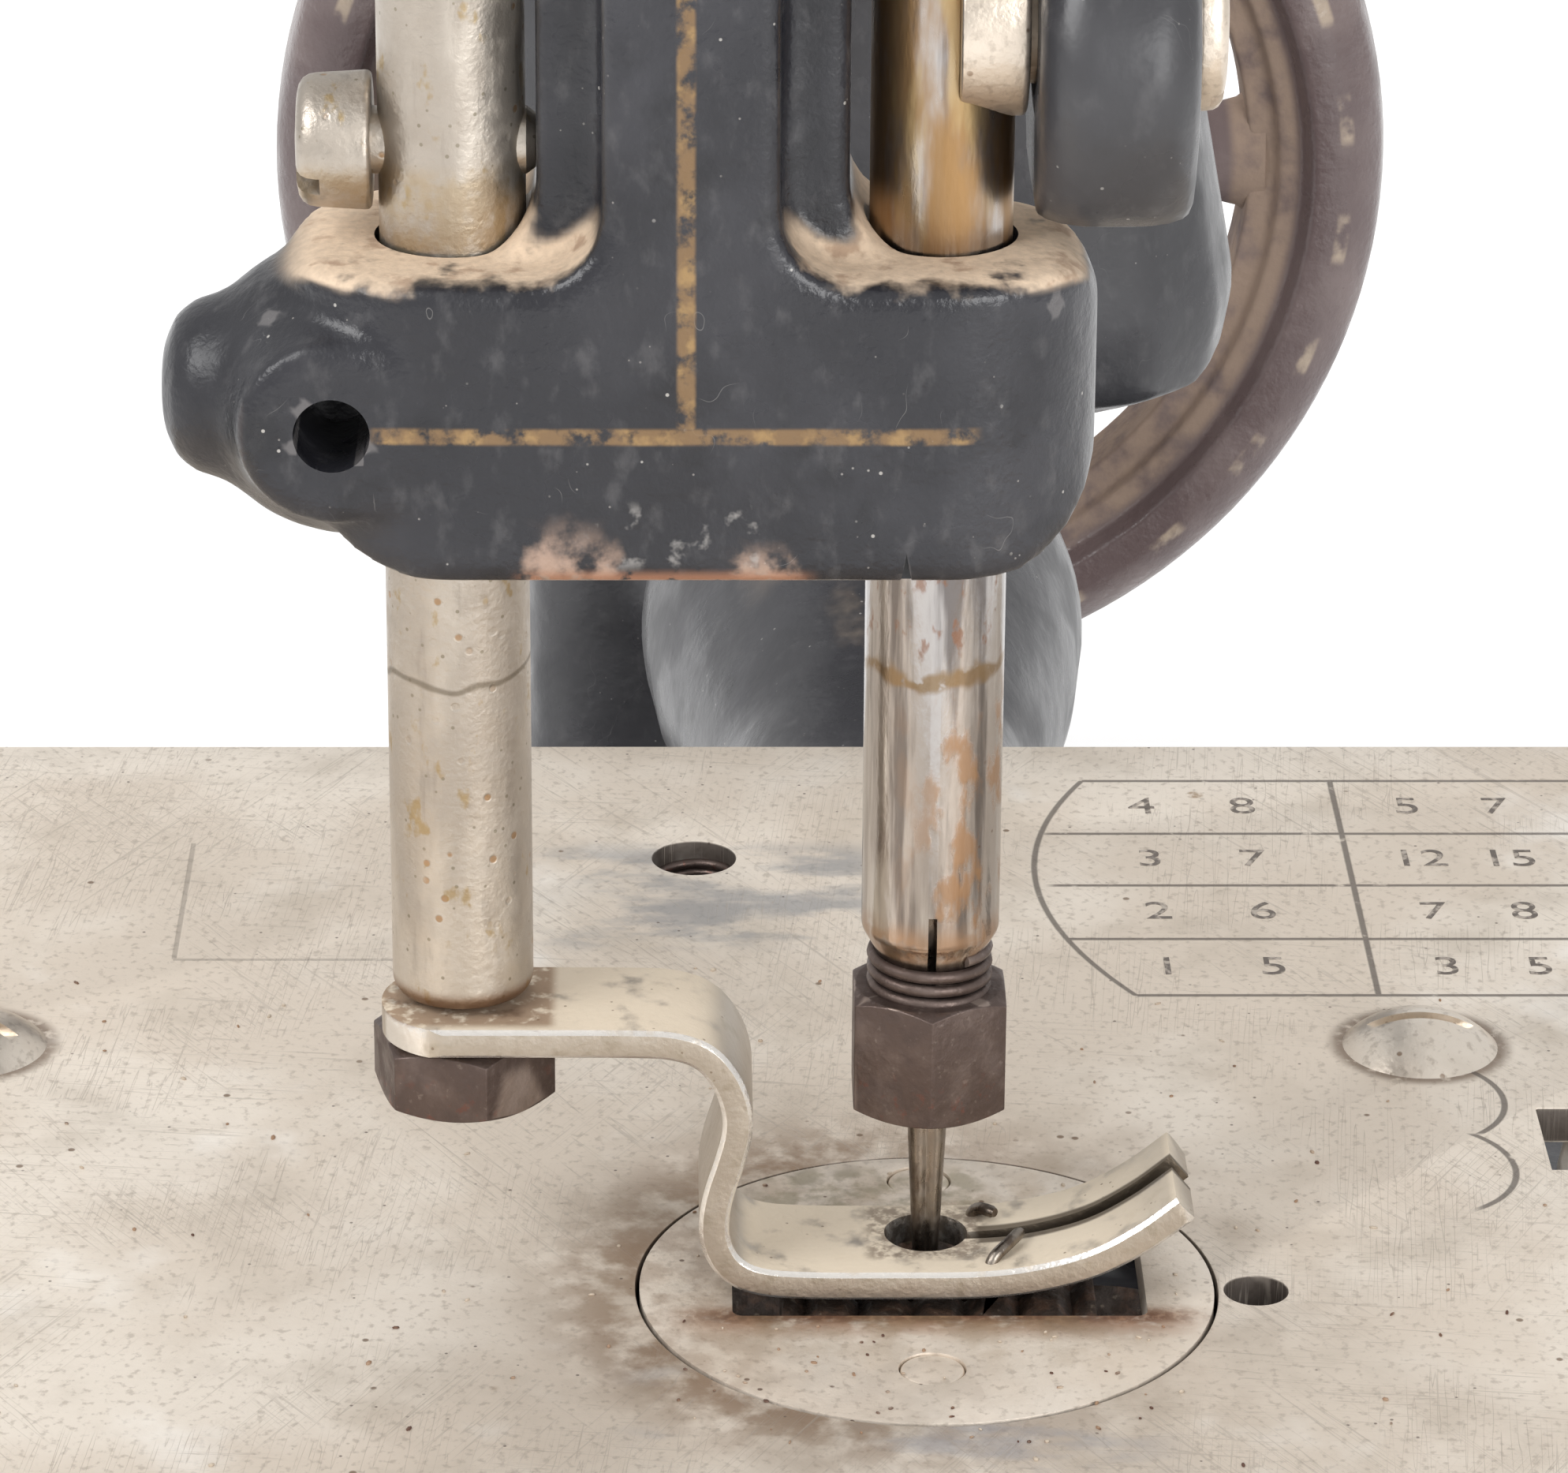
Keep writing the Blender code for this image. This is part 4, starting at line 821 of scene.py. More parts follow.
def copied(node, name):
    """A merged copy of a CAD node's mesh, with flat faces joined again."""
    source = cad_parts[node]
    obj = bpy.data.objects.new(name, source.data.copy())
    bpy.context.scene.collection.objects.link(obj)
    bm = bmesh.new()
    bm.from_mesh(obj.data)
    bmesh.ops.remove_doubles(bm, verts=bm.verts, dist=1e-6)
    bmesh.ops.dissolve_limit(bm, angle_limit=math.radians(0.5), verts=bm.verts, edges=bm.edges)
    bm.to_mesh(obj.data)
    bm.free()
    return obj


print("modifier helpers ready")

# %% [markdown]
# ## The head
# The head is the part everyone looks at: a crossbar that holds the two bars, a rib that rises to the
# upper head, and small bosses. Cast iron has no sharp corners, so the shapes are first stacked as plain
# closed shells and bored, and then a voxel skin and a few smoothing passes melt them into one casting.

# %% Head casting
CROSSBAR_LOW, CROSSBAR_HIGH = PLATE + 37.3, PLATE + 51.0
HEAD_FRONT = -7.7


def rounded_outline(corners, steps=8):
    outline = []
    for k, (u, v, radius) in enumerate(corners):
        here = Vector((u, v))
        if not radius:
            outline.append(here)
            continue
        before = (Vector(corners[k - 1][:2]) - here).normalized()
        after = (Vector(corners[(k + 1) % len(corners)][:2]) - here).normalized()
        half = before.angle(after) / 2
        middle = here + (before + after).normalized() * (radius / math.sin(half))
        start = here + before * (radius / math.tan(half))
        end = here + after * (radius / math.tan(half))
        for s in range(steps + 1):
            outline.append(middle + (start.lerp(end, s / steps) - middle).normalized() * radius)
    return [tuple(spot) for spot in outline]


def crossed(name, outline, x_low, x_high, plan, low, high):
    """What an outline seen from the front and a plan seen from above have in common."""
    return combined(slab(name, outline, "YZ", x_low, x_high),
                    [slab(name + "_plan", plan, "XY", low, high)], "INTERSECT")


def make_head():
    top, bottom = CROSSBAR_HIGH, CROSSBAR_LOW
    tall = PLATE + 99
    tee = rounded_outline([(-17.8, bottom, 5.0), (-17.8, top, 2.6), (-3.6, top, 3.2), (-3.6, tall, 0),
                           (4.1, tall, 0), (4.1, top, 3.2), (18.7, top, 2.6), (18.7, bottom, 7.5)])
    back_tee = rounded_outline([(-15.0, top - 6, 0), (-15.0, top - 0.2, 1.5), (-6.7, top - 0.2, 3.2),
                                (-6.7, tall, 0), (7.0, tall, 0), (7.0, top - 0.2, 3.2),
                                (15.5, top - 0.2, 1.5), (15.5, top - 6, 0)])
    plan = hull([(-0.7, -10.6, 7.15), (0, 10.8, 7.85)])
    slim = hull([(-0.7, -10.6, 6.6), (0, 10.8, 7.3)])
    head = crossed("head_casting", tee, -9, 9, plan, bottom - 1, tall + 1)
    web = crossed("head_web", back_tee, -3.6, 7.2, slim, bottom, tall + 1)
    front = joined(
        lathe("front_boss", [(0, 9), (6.2, 9), (5.6, 5), (4.9, 2.6), (4.35, 1.2), (4.1, 0), (0, 0)],
              (HEAD_FRONT - 0.05, 15.9, bottom + 6.95), "X"),
        lathe("side_boss", [(0, 9.15), (1.8, 9.1), (3.2, 8.5), (3.9, 7.6), (4.05, 6.9), (4.3, 6.2),
                            (4.9, 5.4), (5.6, 4.5), (6.2, 3.2), (6.6, 1.6), (6.7, -1.6), (6.7, -4),
                            (0, -4)], (-0.6, 14.6, bottom + 6.8), "Y"),
        slab("ear", rounded_outline([(-4.4, PLATE + 104, 0), (4.4, PLATE + 104, 0),
                                     (4.4, PLATE + 132.9, 4.2), (-4.4, PLATE + 132.9, 4.2)]),
             "XZ", 22.6, 26.0),
        box("shelf", (-4.0, 12, PLATE + 107), (4.0, 25.6, PLATE + 114)),
        slab("upper", rounded_outline([(-9.4, -18.4, 4), (12, -18.4, 4), (12, 18.4, 4), (-9.4, 18.4, 4)]),
             "XY", PLATE + 97.1, PLATE + 117.9),
    )
    arm_root = lathe("arm_root", [(0, 0), (8.2, 0), (8.6, 9), (0, 9)], (6.0, 0, PLATE + 105.3), "X")
    head = joined(head, web, front, arm_root)
    cast(head, 0.42, 9)
    cut(
        head,
        rod("needle_bore", (0, NEEDLE_Y, PLATE + 30), "Z", 110, 3.42),
        rod("presser_bore", (0, PRESSER_Y, PLATE + 30), "Z", 110, 3.48),
        rod("spring_room", (0, PRESSER_Y, PLATE + 63), "Z", 34, 6.9),
        rod("oil_hole", (-12, 15.9, bottom + 6.95), "X", 11, 1.68),
        rod("lifter_bore", (0, 20, PLATE + 127.7), "Y", 9, 2.2),
        slab("timing_notch", [(-9.65, bottom - 1), (-8.75, bottom - 1), (-9.2, bottom + 1.5)],
             "YZ", -9, -7.0),
    )
    return head


HEAD = make_head()
dressed(HEAD, JAPAN_HEAD, "frame", "japan", sharp=50)

# %% [markdown]
# ## Arm, leg and lower tube
# The rest of the iron is one long sweep. Its drawn form is already right, so a merged copy is cut off
# where the finer head begins, given a coarser skin and softened the same way.

# %% Frame casting


def make_frame_casting():
    casting = copied("frame", "frame_casting")
    cut(casting, box("head_space", (-20, -30, PLATE + 30), (11.5, 30, PLATE + 140)))
    return cast(casting, 0.95, 7)


FRAME = make_frame_casting()
dressed(FRAME, JAPAN, "frame", "japan", "frame", sharp=50)
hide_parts("frame")

# %% [markdown]
# The base is a flat cast plate with big round corners and a broad soft rim, drilled for four bolts.

# %% Base


def make_base():
    outline = rounded_outline([(-50, -75, 26), (185, -75, 26), (185, 75, 26), (-50, 75, 26)], 16)
    base = slab("base_plate", outline, "XY", 0, 10)
    bevelled(base, 2.4, 5)
    seat = [rod(f"bolt_hole_{k}", (x, y, -2), "Z", 20, 2.7, 24)
            for k, (x, y) in enumerate(BASE_BOLTS)]
    return cut(base, *seat)


dressed(make_base(), JAPAN, "frame", "japan", "base")

# %% [markdown]
# ## Cloth plate
# The plate is polished sheet nickel with a broken edge. Its holes are cut with many sides so that their
# rims read as round close up, and each rim is eased a little, as a countersink leaves it.

# %% Cloth plate and needle plate
PLATE_LOW = PLATE - 2


def make_cloth_plate():
    outline = rounded_outline([(-63.5, -89, 5), (63.1, -89, 5), (63.1, 89, 5), (-63.5, 89, 5)], 8)
    plate = slab("cloth_plate_sheet", outline, "XY", PLATE_LOW, PLATE)
    cut(
        plate,
        rod("seat", (*SEAT, PLATE_LOW - 3), "Z", 9, 13.62, 128),
        rod("far_hole", (*GUIDE_HOLE, PLATE_LOW - 3), "Z", 9, 2.24),
        rod("near_hole", (*NEAR_HOLE, PLATE_LOW - 3), "Z", 9, 1.49),
        box("window", (10.0, -53, PLATE_LOW - 3), (16.9, -41.6, PLATE + 3)),
        rod("stud_hole", (*DIAL_CENTRE, PLATE_LOW - 3), "Z", 9, 2.3),
        rod("screw_hole_right", (PLATE_SCREW_X, -PLATE_SCREW_Y, PLATE_LOW - 3), "Z", 9, 2.3),
        rod("screw_hole_left", (PLATE_SCREW_X, PLATE_SCREW_Y, PLATE_LOW - 3), "Z", 9, 2.3),
    )
    return bevelled(plate, 0.18, 2, 40)


def make_needle_plate():
    disc = rod("needle_plate_disc", (*SEAT, PLATE_LOW), "Z", 2, 13.44, 128)
    slot = rounded_outline([(-5.3, -21.0, 0.5), (4.7, -21.0, 0.5), (4.7, -1.7, 0.5), (-5.3, -1.7, 0.5)], 4)
    cut(disc, slab("feed_slot", slot, "XY", PLATE_LOW - 3, PLATE + 3),
        *[rod(f"rivet_seat_{k}", (x, NEEDLE_Y, PLATE_LOW - 3), "Z", 9, 1.56) for k, x in enumerate(RIVET_X)])
    return bevelled(disc, 0.14, 2, 40)


dressed(make_cloth_plate(), PLATE_NICKEL, "frame", "nickel", "cloth_plate")
dressed(make_needle_plate(), NEEDLE_PLATE_NICKEL, "frame", "nickel", "needle_plate")
for side, x in enumerate(RIVET_X, 1):
    rivet = lathe(f"rivet_{side}", soft_profile([(0, 1.98, 0), (1.48, 1.94, 0.15), (1.48, 0, 0), (0, 0, 0)]),
                  (x, NEEDLE_Y, PLATE_LOW))
    dressed(rivet, NEEDLE_PLATE_NICKEL, "frame", "nickel", f"needle_plate_rivet_{side}")

# %% [markdown]
# The hole behind the needle takes the clamp screw of an edge guide. A short steel boss under the plate
# carries its thread, and the well below is dark with oil.

# %% Guide boss
guide_boss = lathe(
    "guide_boss",
    soft_profile([(0, -5.4, 0), (2.24, -5.4, 0), (2.24, -2.0, 0), (4.2, -2.0, 0), (4.2, -6.2, 0.6),
                  (0, -6.2, 0)]),
    (*GUIDE_HOLE, PLATE))
dressed(guide_boss, GREASY_STEEL, "frame", "steel")

# %% [markdown]
# ## Slotted screws
# Each screw is a turned head and shank with a sawn slot. The dome of the plate screws is nearly
# spherical, so its profile is taken from a circle and not from a few straight steps.

# %% Screws


def slotted(name, profile, centre, axis, top, width, depth, turn, sign=1):
    """Turned screw with a slot across its head; turn is the slot's angle in degrees."""
    screw = lathe(name, profile, centre, axis)
    deep, tall = top - sign * depth, top + sign * 2
    angle = math.radians(turn)
    across, beside = Vector((math.cos(angle), math.sin(angle))), Vector((-math.sin(angle), math.cos(angle)))
    reach = 12
    rings = []
    for d in (deep, tall):
        ring = []
        for a, b in ((-1, -1), (1, -1), (1, 1), (-1, 1)):
            flat = across * (a * reach) + beside * (b * width / 2)
            ring.append(Vector(ALONG[axis](flat.x, flat.y, d)) + Vector(centre))
        rings.append(ring)
    return cut(screw, loft(name + "_slot", rings))


def dome(radius, rise):
    """Profile of a spherical cap from its top to its rim."""
    steps = 10
    ball = (radius * radius + rise * rise) / (2 * rise)
    return [(radius * k / steps, rise - ball + math.sqrt(ball * ball - (radius * k / steps) ** 2))
            for k in range(steps + 1)]


PLATE_SCREW = dome(3.9, 1.7) + [(2.1, 0), (2.1, -9), (0, -9)]
for side, y, turn in (("right", -PLATE_SCREW_Y, 88), ("left", PLATE_SCREW_Y, 64)):
    screw = slotted(f"screw_{side}", PLATE_SCREW, (PLATE_SCREW_X, y, PLATE), "Z", 1.7, 0.75, 0.75, turn)
    dressed(screw, NICKEL, "frame", "nickel", f"plate_screw_{side}")

COLLAR_SCREW_Z = PLATE + 55.3
collar_screw = slotted(
    "clamp_screw",
    soft_profile([(0, 5.9, 0), (2.9, 5.7, 0.8), (3.08, 2.5, 0.3), (1.5, 2.5, 0), (1.5, -4.3, 0),
                  (1.2, -4.7, 0), (0, -4.7, 0)], 4),
    (0, PRESSER_Y + 1.0, COLLAR_SCREW_Z), "Y", 5.9, 0.95, 1.2, 62)
dressed(collar_screw, BAR_NICKEL, "presser", "nickel", "collar_screw")

for k in range(1, len(BASE_BOLTS) + 1):
    low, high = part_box(f"base_bolt_{k}")
    x, y, top = (low[0] + high[0]) / 2 / MM, (low[1] + high[1]) / 2 / MM, high[2] / MM
    bolt = slotted(f"foot_bolt_{k}", soft_profile([(0, 0, 0), (4.5, 0, 1.1), (4.6, -2.6, 0.2),
                                                   (2.4, -2.6, 0), (2.4, -14, 0), (0, -14, 0)], 4),
                                                   (x, y, top), "Z", 0.0, 1.2, 1.3, 20 + 50 * k)
    dressed(bolt, DARK_STEEL, "frame", "dark_steel", f"base_bolt_{k}")

# %% [markdown]
# ## Needle bar, collet nut and needle
# The bar is ground round stock that narrows to a split, threaded collet. A hexagon nut squeezes the
# collet on the needle, whose long groove faces the operator's left.

# %% Needle bar


def hexagon(name, centre, low, high, radius, turn, chamfer):
    """Hexagon nut; a lathe-turned cone takes its corners off top and bottom."""
    angles = [math.radians(turn + 60 * k) for k in range(6)]
    outline = [(radius * math.cos(a), radius * math.sin(a)) for a in angles]
    nut = slab(name, [(centre[0] + u, centre[1] + v) for u, v in outline], "XY", low, high)
    flat = radius * math.cos(math.pi / 6)
    turned = lathe(name + "_turned", [(0, low), (flat - 0.1, low), (radius + 0.3, low + chamfer + 0.2),
                                      (radius + 0.3, high - chamfer - 0.2), (flat - 0.1, high),
                                      (0, high)], (*centre, 0), steps=96)
    combined(nut, [turned], "INTERSECT")
    return bevelled(nut, 0.12, 2, 25)


needle_bar = lathe(
    "needle_bar_rod",
    soft_profile([(0, 128, 0), (3.175, 128, 0.7), (3.175, 17.6, 0.2), (2.62, 16.6, 0), (2.55, 15.0, 0),
                  (0, 15.0, 0)]),
    (0, NEEDLE_Y, PLATE), steps=96)
cut(needle_bar, rod("socket", (0, NEEDLE_Y, PLATE + 10), "Z", 18, 1.15),
    box("collet_split", (-6, NEEDLE_Y - 0.2, PLATE + 10), (6, NEEDLE_Y + 0.2, PLATE + 19.2)))
dressed(needle_bar, BAR_STEEL, "needle_bar", "steel", "needle_bar")

collet = hexagon("hex_nut", (0, NEEDLE_Y), PLATE + 8.7, PLATE + 14.6, 4.04, 0, 0.25)
cut(collet, rod("nut_bore", (0, NEEDLE_Y, PLATE + 5), "Z", 14, 1.2))
dressed(collet, DARK_STEEL, "needle_bar", "dark_steel", "collet_nut")


def make_needle():
    """Round shank, a long groove down the front and a short taper to the point."""
    rings = []
    for z, radius, groove in ((24, 0.95, 0), (9.5, 0.95, 0), (8.2, 0.93, 0.35), (6.6, 0.88, 0.42),
                              (5, 0.8, 0.42), (3, 0.72, 0.40), (1, 0.62, 0.36), (-1, 0.54, 0.3),
                              (-4, 0.46, 0.22), (-6.5, 0.40, 0), (-8.4, 0.22, 0), (-9.4, 0.03, 0)):
        ring = []
        for k in range(48):
            angle = math.tau * k / 48
            facing = max(0.0, -math.cos(angle)) ** 10
            reach = radius * (1 - groove * facing)
            ring.append((reach * math.cos(angle), NEEDLE_Y + reach * math.sin(angle), PLATE + z))
        rings.append(ring)
    return loft("needle_blade", rings)


dressed(make_needle(), NEEDLE_STEEL, "needle_bar", "steel", "needle")

STUD_Z = PLATE + 61.0
stud = slotted(
    "stud_screw",
    soft_profile([(0, 0, 0), (4.4, 0, 0.2), (4.4, -3.0, 0.3), (3.0, -3.0, 0), (3.0, -10.2, 0),
                  (4.2, -10.2, 0.25), (4.2, -11.5, 0.7), (0, -11.8, 0)], 4),
    (0, NEEDLE_Y - 0.6, STUD_Z), "Y", -11.8, 1.0, 0.9, 40, -1)
cut(stud, rod("stud_saddle", (0, NEEDLE_Y, STUD_Z - 8), "Z", 16, 3.3))
dressed(stud, NICKEL, "needle_bar", "dark_steel", "link_stud")

# %% [markdown]
# ## Presser bar and foot
# The foot is one strip of nickelled steel bent three times: flat under the bar, down in a soft S, and out
# into a sole whose toe turns up. Sections are set square to its middle line, so that the strip keeps its
# thickness round the bends, and the end under the bar is rounded in plan.

# %% Presser bar and foot
presser_bar = lathe(
    "presser_bar_rod",
    soft_profile([(0, 134, 0), (3.25, 134, 0.7), (3.25, 14.9, 0.35), (3.0, 14.6, 0), (0, 14.6, 0)]),
    (0, PRESSER_Y, PLATE), steps=96)
dressed(presser_bar, BAR_NICKEL, "presser", "nickel", "presser_bar")


def smooth_path(points, steps):
    """Catmull-Rom curve through the points."""
    path = []
    ends = [points[0] * 2 - points[1], *points, points[-1] * 2 - points[-2]]
    for before, start, end, after in zip(ends, ends[1:], ends[2:], ends[3:]):
        for s in range(steps):
            t = s / steps
            square = 2 * before - 5 * start + 4 * end - after
            cube = 3 * start - before - 3 * end + after
            path.append(0.5 * (2 * start + (end - before) * t + square * t * t + cube * t ** 3))
    return path + [points[-1]]


FOOT_LINE = [(14.6, 13.45), (8.0, 13.45), (3.0, 13.43), (1.0, 13.3), (-0.4, 12.75), (-1.35, 11.6),
             (-1.85, 10.2), (-1.9, 8.9), (-1.55, 7.4), (-1.1, 5.9), (-0.85, 4.5), (-0.95, 3.2), (-1.6, 2.0),
             (-2.9, 1.28), (-5.2, 1.05), (-9.0, 1.03), (-13.2, 1.08), (-16.0, 1.45), (-18.6, 2.25),
             (-20.8, 3.55), (-22.65, 5.05)]
FOOT_HALF = 0.70
FOOT_X = (-4.5, 2.8)


def make_foot():
    points = [Vector((y, PLATE + z)) for y, z in FOOT_LINE]
    path = smooth_path(points, 6)
    corner = 0.2
    rings = []
    for k, spot in enumerate(path):
        ahead = (path[min(k + 1, len(path) - 1)] - path[max(k - 1, 0)]).normalized()
        square = Vector((-ahead.y, ahead.x))
        ring = []
        for x, up in ((FOOT_X[0] + corner, 1), (FOOT_X[0], 1 - corner / FOOT_HALF),
                      (FOOT_X[0], corner / FOOT_HALF - 1), (FOOT_X[0] + corner, -1),
                      (FOOT_X[1] - corner, -1), (FOOT_X[1], corner / FOOT_HALF - 1),
                      (FOOT_X[1], 1 - corner / FOOT_HALF), (FOOT_X[1] - corner, 1)):
            flat = spot + square * up * FOOT_HALF
            ring.append((x, flat.x, flat.y))
        rings.append(ring)
    foot = loft("foot_strip", rings)
    rounded_end = hull([(-0.85, PRESSER_Y, 3.75), (-0.85, -10, 3.75)])
    toe = rounded_outline([(-7, 30, 0), (FOOT_X[0], -19.5, 0), (FOOT_X[0], -23.4, 1.1),
                           (FOOT_X[1], -23.4, 1.1), (FOOT_X[1], -19.5, 0), (7, 30, 0)])
    combined(foot, [slab("toe_plan", toe, "XY", PLATE - 5, PLATE + 30)], "INTERSECT")
    end = box("end_block", (-12, PRESSER_Y - 0.01, PLATE + 10), (12, 24, PLATE + 18))
    cut(end, slab("end_plan", rounded_end, "XY", PLATE + 9, PLATE + 19))
    groove_plan = [(-1.15, -23.6), (0.05, -23.6), (-0.2, -12.6), (-0.9, -12.6)]
    groove = slab("thread_groove", groove_plan, "XY", PLATE - 1, PLATE + 9)
    cut(foot, end, rod("needle_eye", (-0.2, NEEDLE_Y, PLATE - 3), "Z", 9, 1.95), groove)
    return bevelled(foot, 0.1, 2, 40)


foot = make_foot()
dressed(foot, FOOT_NICKEL, "presser", "nickel", "presser_foot", sharp=32)

# %% [markdown]
# The floor of the thread groove is a thin dark strip, and two bent wires keep the thread in it. A wire is
# a row of circles set square to a smooth path, so it holds its thickness round the bends.

# %% Thread groove and pins


def bent_wire(name, path, radius, sides=12):
    """Round wire along points; the ends are domed by one smaller ring."""
    points = [Vector(p) for p in path]
    rings = []
    aside = Vector((0.3, 0.2, 1)).normalized()
    for k, spot in enumerate(points):
        ahead = (points[min(k + 1, len(points) - 1)] - points[max(k - 1, 0)]).normalized()
        across = ahead.cross(aside).normalized()
        aside = across.cross(ahead)
        thin = 0.72 if k in (0, len(points) - 1) else 1.0
        angles = [math.tau * s / sides for s in range(sides)]
        rings.append([spot + (across * math.cos(a) + aside * math.sin(a)) * radius * thin for a in angles])
    return loft(name, rings)


groove_line = [Vector((y, PLATE + z - 0.38)) for y, z in FOOT_LINE[-6:]]
groove_path = smooth_path(groove_line, 4)
groove_floor = loft("groove_floor", [
    [(x, p.x, p.y + up) for x, up in ((-1.4, 0), (0.3, 0), (0.3, -0.22), (-1.4, -0.22))]
    for p in groove_path if -23.0 < p.x < -12.4])
pin_one = bent_wire("thread_pin_one", smooth_path([Vector(p) for p in (
    (1.6, -13.0, PLATE + 1.2), (1.6, -13.1, PLATE + 1.9), (1.35, -13.5, PLATE + 2.2),
    (0.8, -14.1, PLATE + 2.25))], 4), 0.3)
pin_two = bent_wire("thread_pin_two", smooth_path([Vector(p) for p in (
    (-3.5, -13.6, PLATE + 1.2), (-3.3, -13.9, PLATE + 2.0), (-2.6, -14.6, PLATE + 2.4),
    (-1.6, -15.2, PLATE + 2.5))], 4), 0.3)
fittings = joined(groove_floor, pin_one, pin_two)
fittings.name = "thread_pins"
dressed(fittings, NEEDLE_STEEL, "presser", "nickel")


# %% [markdown]
# A hexagon nut holds the foot to the bar. Higher up the bar wears a seat for the spring and a ring whose
# lug the lifter raises.

# %% Foot nut, spring seat and lift ring
foot_nut = hexagon("foot_nut", (0, PRESSER_Y), PLATE + 9.15, PLATE + 12.45, 4.4, 15, 0.3)
dressed(foot_nut, DARK_STEEL, "presser", "dark_steel", "foot_screw")

seat = lathe("seat_collar", soft_profile([(3.5, 0, 0.1), (6.2, 0, 0.4), (6.2, 3.5, 0.4), (3.5, 3.5, 0.1)]),
             (0, PRESSER_Y, PLATE + 66), ring=True)
dressed(seat, STEEL, "presser", "steel", "spring_seat")
lift = lathe("lift_ring", soft_profile([(3.5, 0, 0.1), (6.0, 0, 0.4), (6.0, 3.6, 0.4), (3.5, 3.6, 0.1)]),
             (0, PRESSER_Y, PLATE + 130), ring=True)
lug = bevelled(box("lug", (-2.6, PRESSER_Y + 4.7, PLATE + 130), (2.6, PRESSER_Y + 11.4, PLATE + 133.6)), 0.6)
dressed(fuse(lift, lug), STEEL, "presser", "steel", "lift_collar")

# %% [markdown]
# ## Geometry Nodes recipes
# Springs and screw threads follow a helix, knurls and spokes repeat round a circle, and grit lies at
# random. Each is a small node tree with named inputs. A Recipe holds the tree, hands out its input sockets
# and, once the numbers are set, reads the result back as a plain mesh.

# %% Recipe


class Recipe:
    KINDS = {float: "NodeSocketFloat", int: "NodeSocketInt", bpy.types.Object: "NodeSocketObject"}

    def __init__(self, name, finish, **inputs):
        self.tree = bpy.data.node_groups.new(name, "GeometryNodeTree")
        self.tree.interface.new_socket("Geometry", in_out="OUTPUT", socket_type="NodeSocketGeometry")
        self.finish = finish
        self.values = {}
        for key, value in inputs.items():
            socket = self.tree.interface.new_socket(key, in_out="INPUT", socket_type=self.KINDS[type(value)])
            self.values[socket.identifier] = value
        self.given = self.tree.nodes.new("NodeGroupInput")

    def node(self, kind, settings, sockets, out=0):
        made = self.tree.nodes.new(kind)
        for key, value in settings.items():
            setattr(made, key, value)
        for key, value in sockets.items():
            if isinstance(value, str):
                value = self.given.outputs[value]
            if isinstance(value, bpy.types.NodeSocket):
                self.tree.links.new(value, made.inputs[key])
            else:
                made.inputs[key].default_value = value
        return made.outputs[out]

    def grow(self, name, geometry, move=(0, 0, 0)):
        real = self.node("GeometryNodeRealizeInstances", {}, {"Geometry": geometry})
        painted = self.node("GeometryNodeSetMaterial", {}, {"Geometry": real, "Material": self.finish})
        out = self.tree.nodes.new("NodeGroupOutput")
        self.tree.links.new(painted, out.inputs[0])
        obj = bpy.data.objects.new(name, bpy.data.meshes.new(name))
        bpy.context.scene.collection.objects.link(obj)
        modifier = obj.modifiers.new("recipe", "NODES")
        modifier.node_group = self.tree
        for identifier, value in self.values.items():
            modifier[identifier] = value
        settle(obj)
        obj.data.transform(Matrix.Translation(Vector(move) * MM))
        return obj


# %% [markdown]
# A helix wire: a spiral curve gives the middle line and a circle is swept along it. The same recipe makes
# a coil spring, and, with a thin wire sunk in the stock, a screw thread.

# %% Helix wire


def coil(name, finish, turns, radius, height, wire, move, sides=10):
    recipe = Recipe(name + "_recipe", finish, Turns=float(turns), Radius=radius * MM,
                    Height=height * MM, Wire=wire * MM, Sides=sides)
    line = recipe.node("GeometryNodeCurveSpiral", {}, {
        "Resolution": 36, "Rotations": "Turns", "Start Radius": "Radius", "End Radius": "Radius",
        "Height": "Height"})
    ring = recipe.node("GeometryNodeCurvePrimitiveCircle", {}, {"Resolution": "Sides", "Radius": "Wire"})
    swept = recipe.node("GeometryNodeCurveToMesh", {},
                        {"Curve": line, "Profile Curve": ring, "Fill Caps": True})
    return recipe.grow(name, swept, move)


spring_low, spring_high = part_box("presser_spring")
spring_room = (spring_high[2] - spring_low[2]) / MM - 1.5
spring = coil("coil_spring", STEEL, 7.0, 4.9, spring_room, 0.75, (0, PRESSER_Y, spring_low[2] / MM + 0.75))
dressed(spring, STEEL, "frame", "steel", "presser_spring", sharp=0)
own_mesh(spring)
low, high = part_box("tension_spring")
spring = coil("tension_coil", STEEL, 5.0, 3.7, (high[2] - low[2]) / MM - 1.0, 0.5,
              (*TENSION_SPOT, low[2] / MM + 0.5))
dressed(spring, STEEL, "frame", "steel", "tension_spring", sharp=0)
collet_thread = coil("collet_thread", DARK_STEEL, 3.4, 2.62, 2.3, 0.30, (0, NEEDLE_Y, PLATE + 14.3), 8)
dressed(collet_thread, DARK_STEEL, "needle_bar", "dark_steel", sharp=0)
stud_rod = lathe("tension_rod", soft_profile([(0, 26, 0), (2.0, 26, 0.5), (2.0, -8, 0), (0, -8, 0)]),
                 (*TENSION_SPOT, 202))
guide_thread = coil("guide_thread", DARK_STEEL, 4.5, 2.1, 2.4, 0.26, (*GUIDE_HOLE, PLATE - 3.4), 6)
dressed(guide_thread, DARK_STEEL, "frame", "steel", sharp=0)
tension_thread = coil("tension_thread", STEEL, 12, 1.93, 9.6, 0.24, (*TENSION_SPOT, 217.4), 6)
dressed(joined(stud_rod, tension_thread), STEEL, "frame", "steel", "tension_stud")

# %% [markdown]
# ## Ribs round a circle
# The knurled nuts share one recipe: points on a circle, a short round rib on each, turned to face outwards.
# The hand wheel's spokes use it too, with a lofted spoke as the thing that is repeated.

# %% Ring of copies


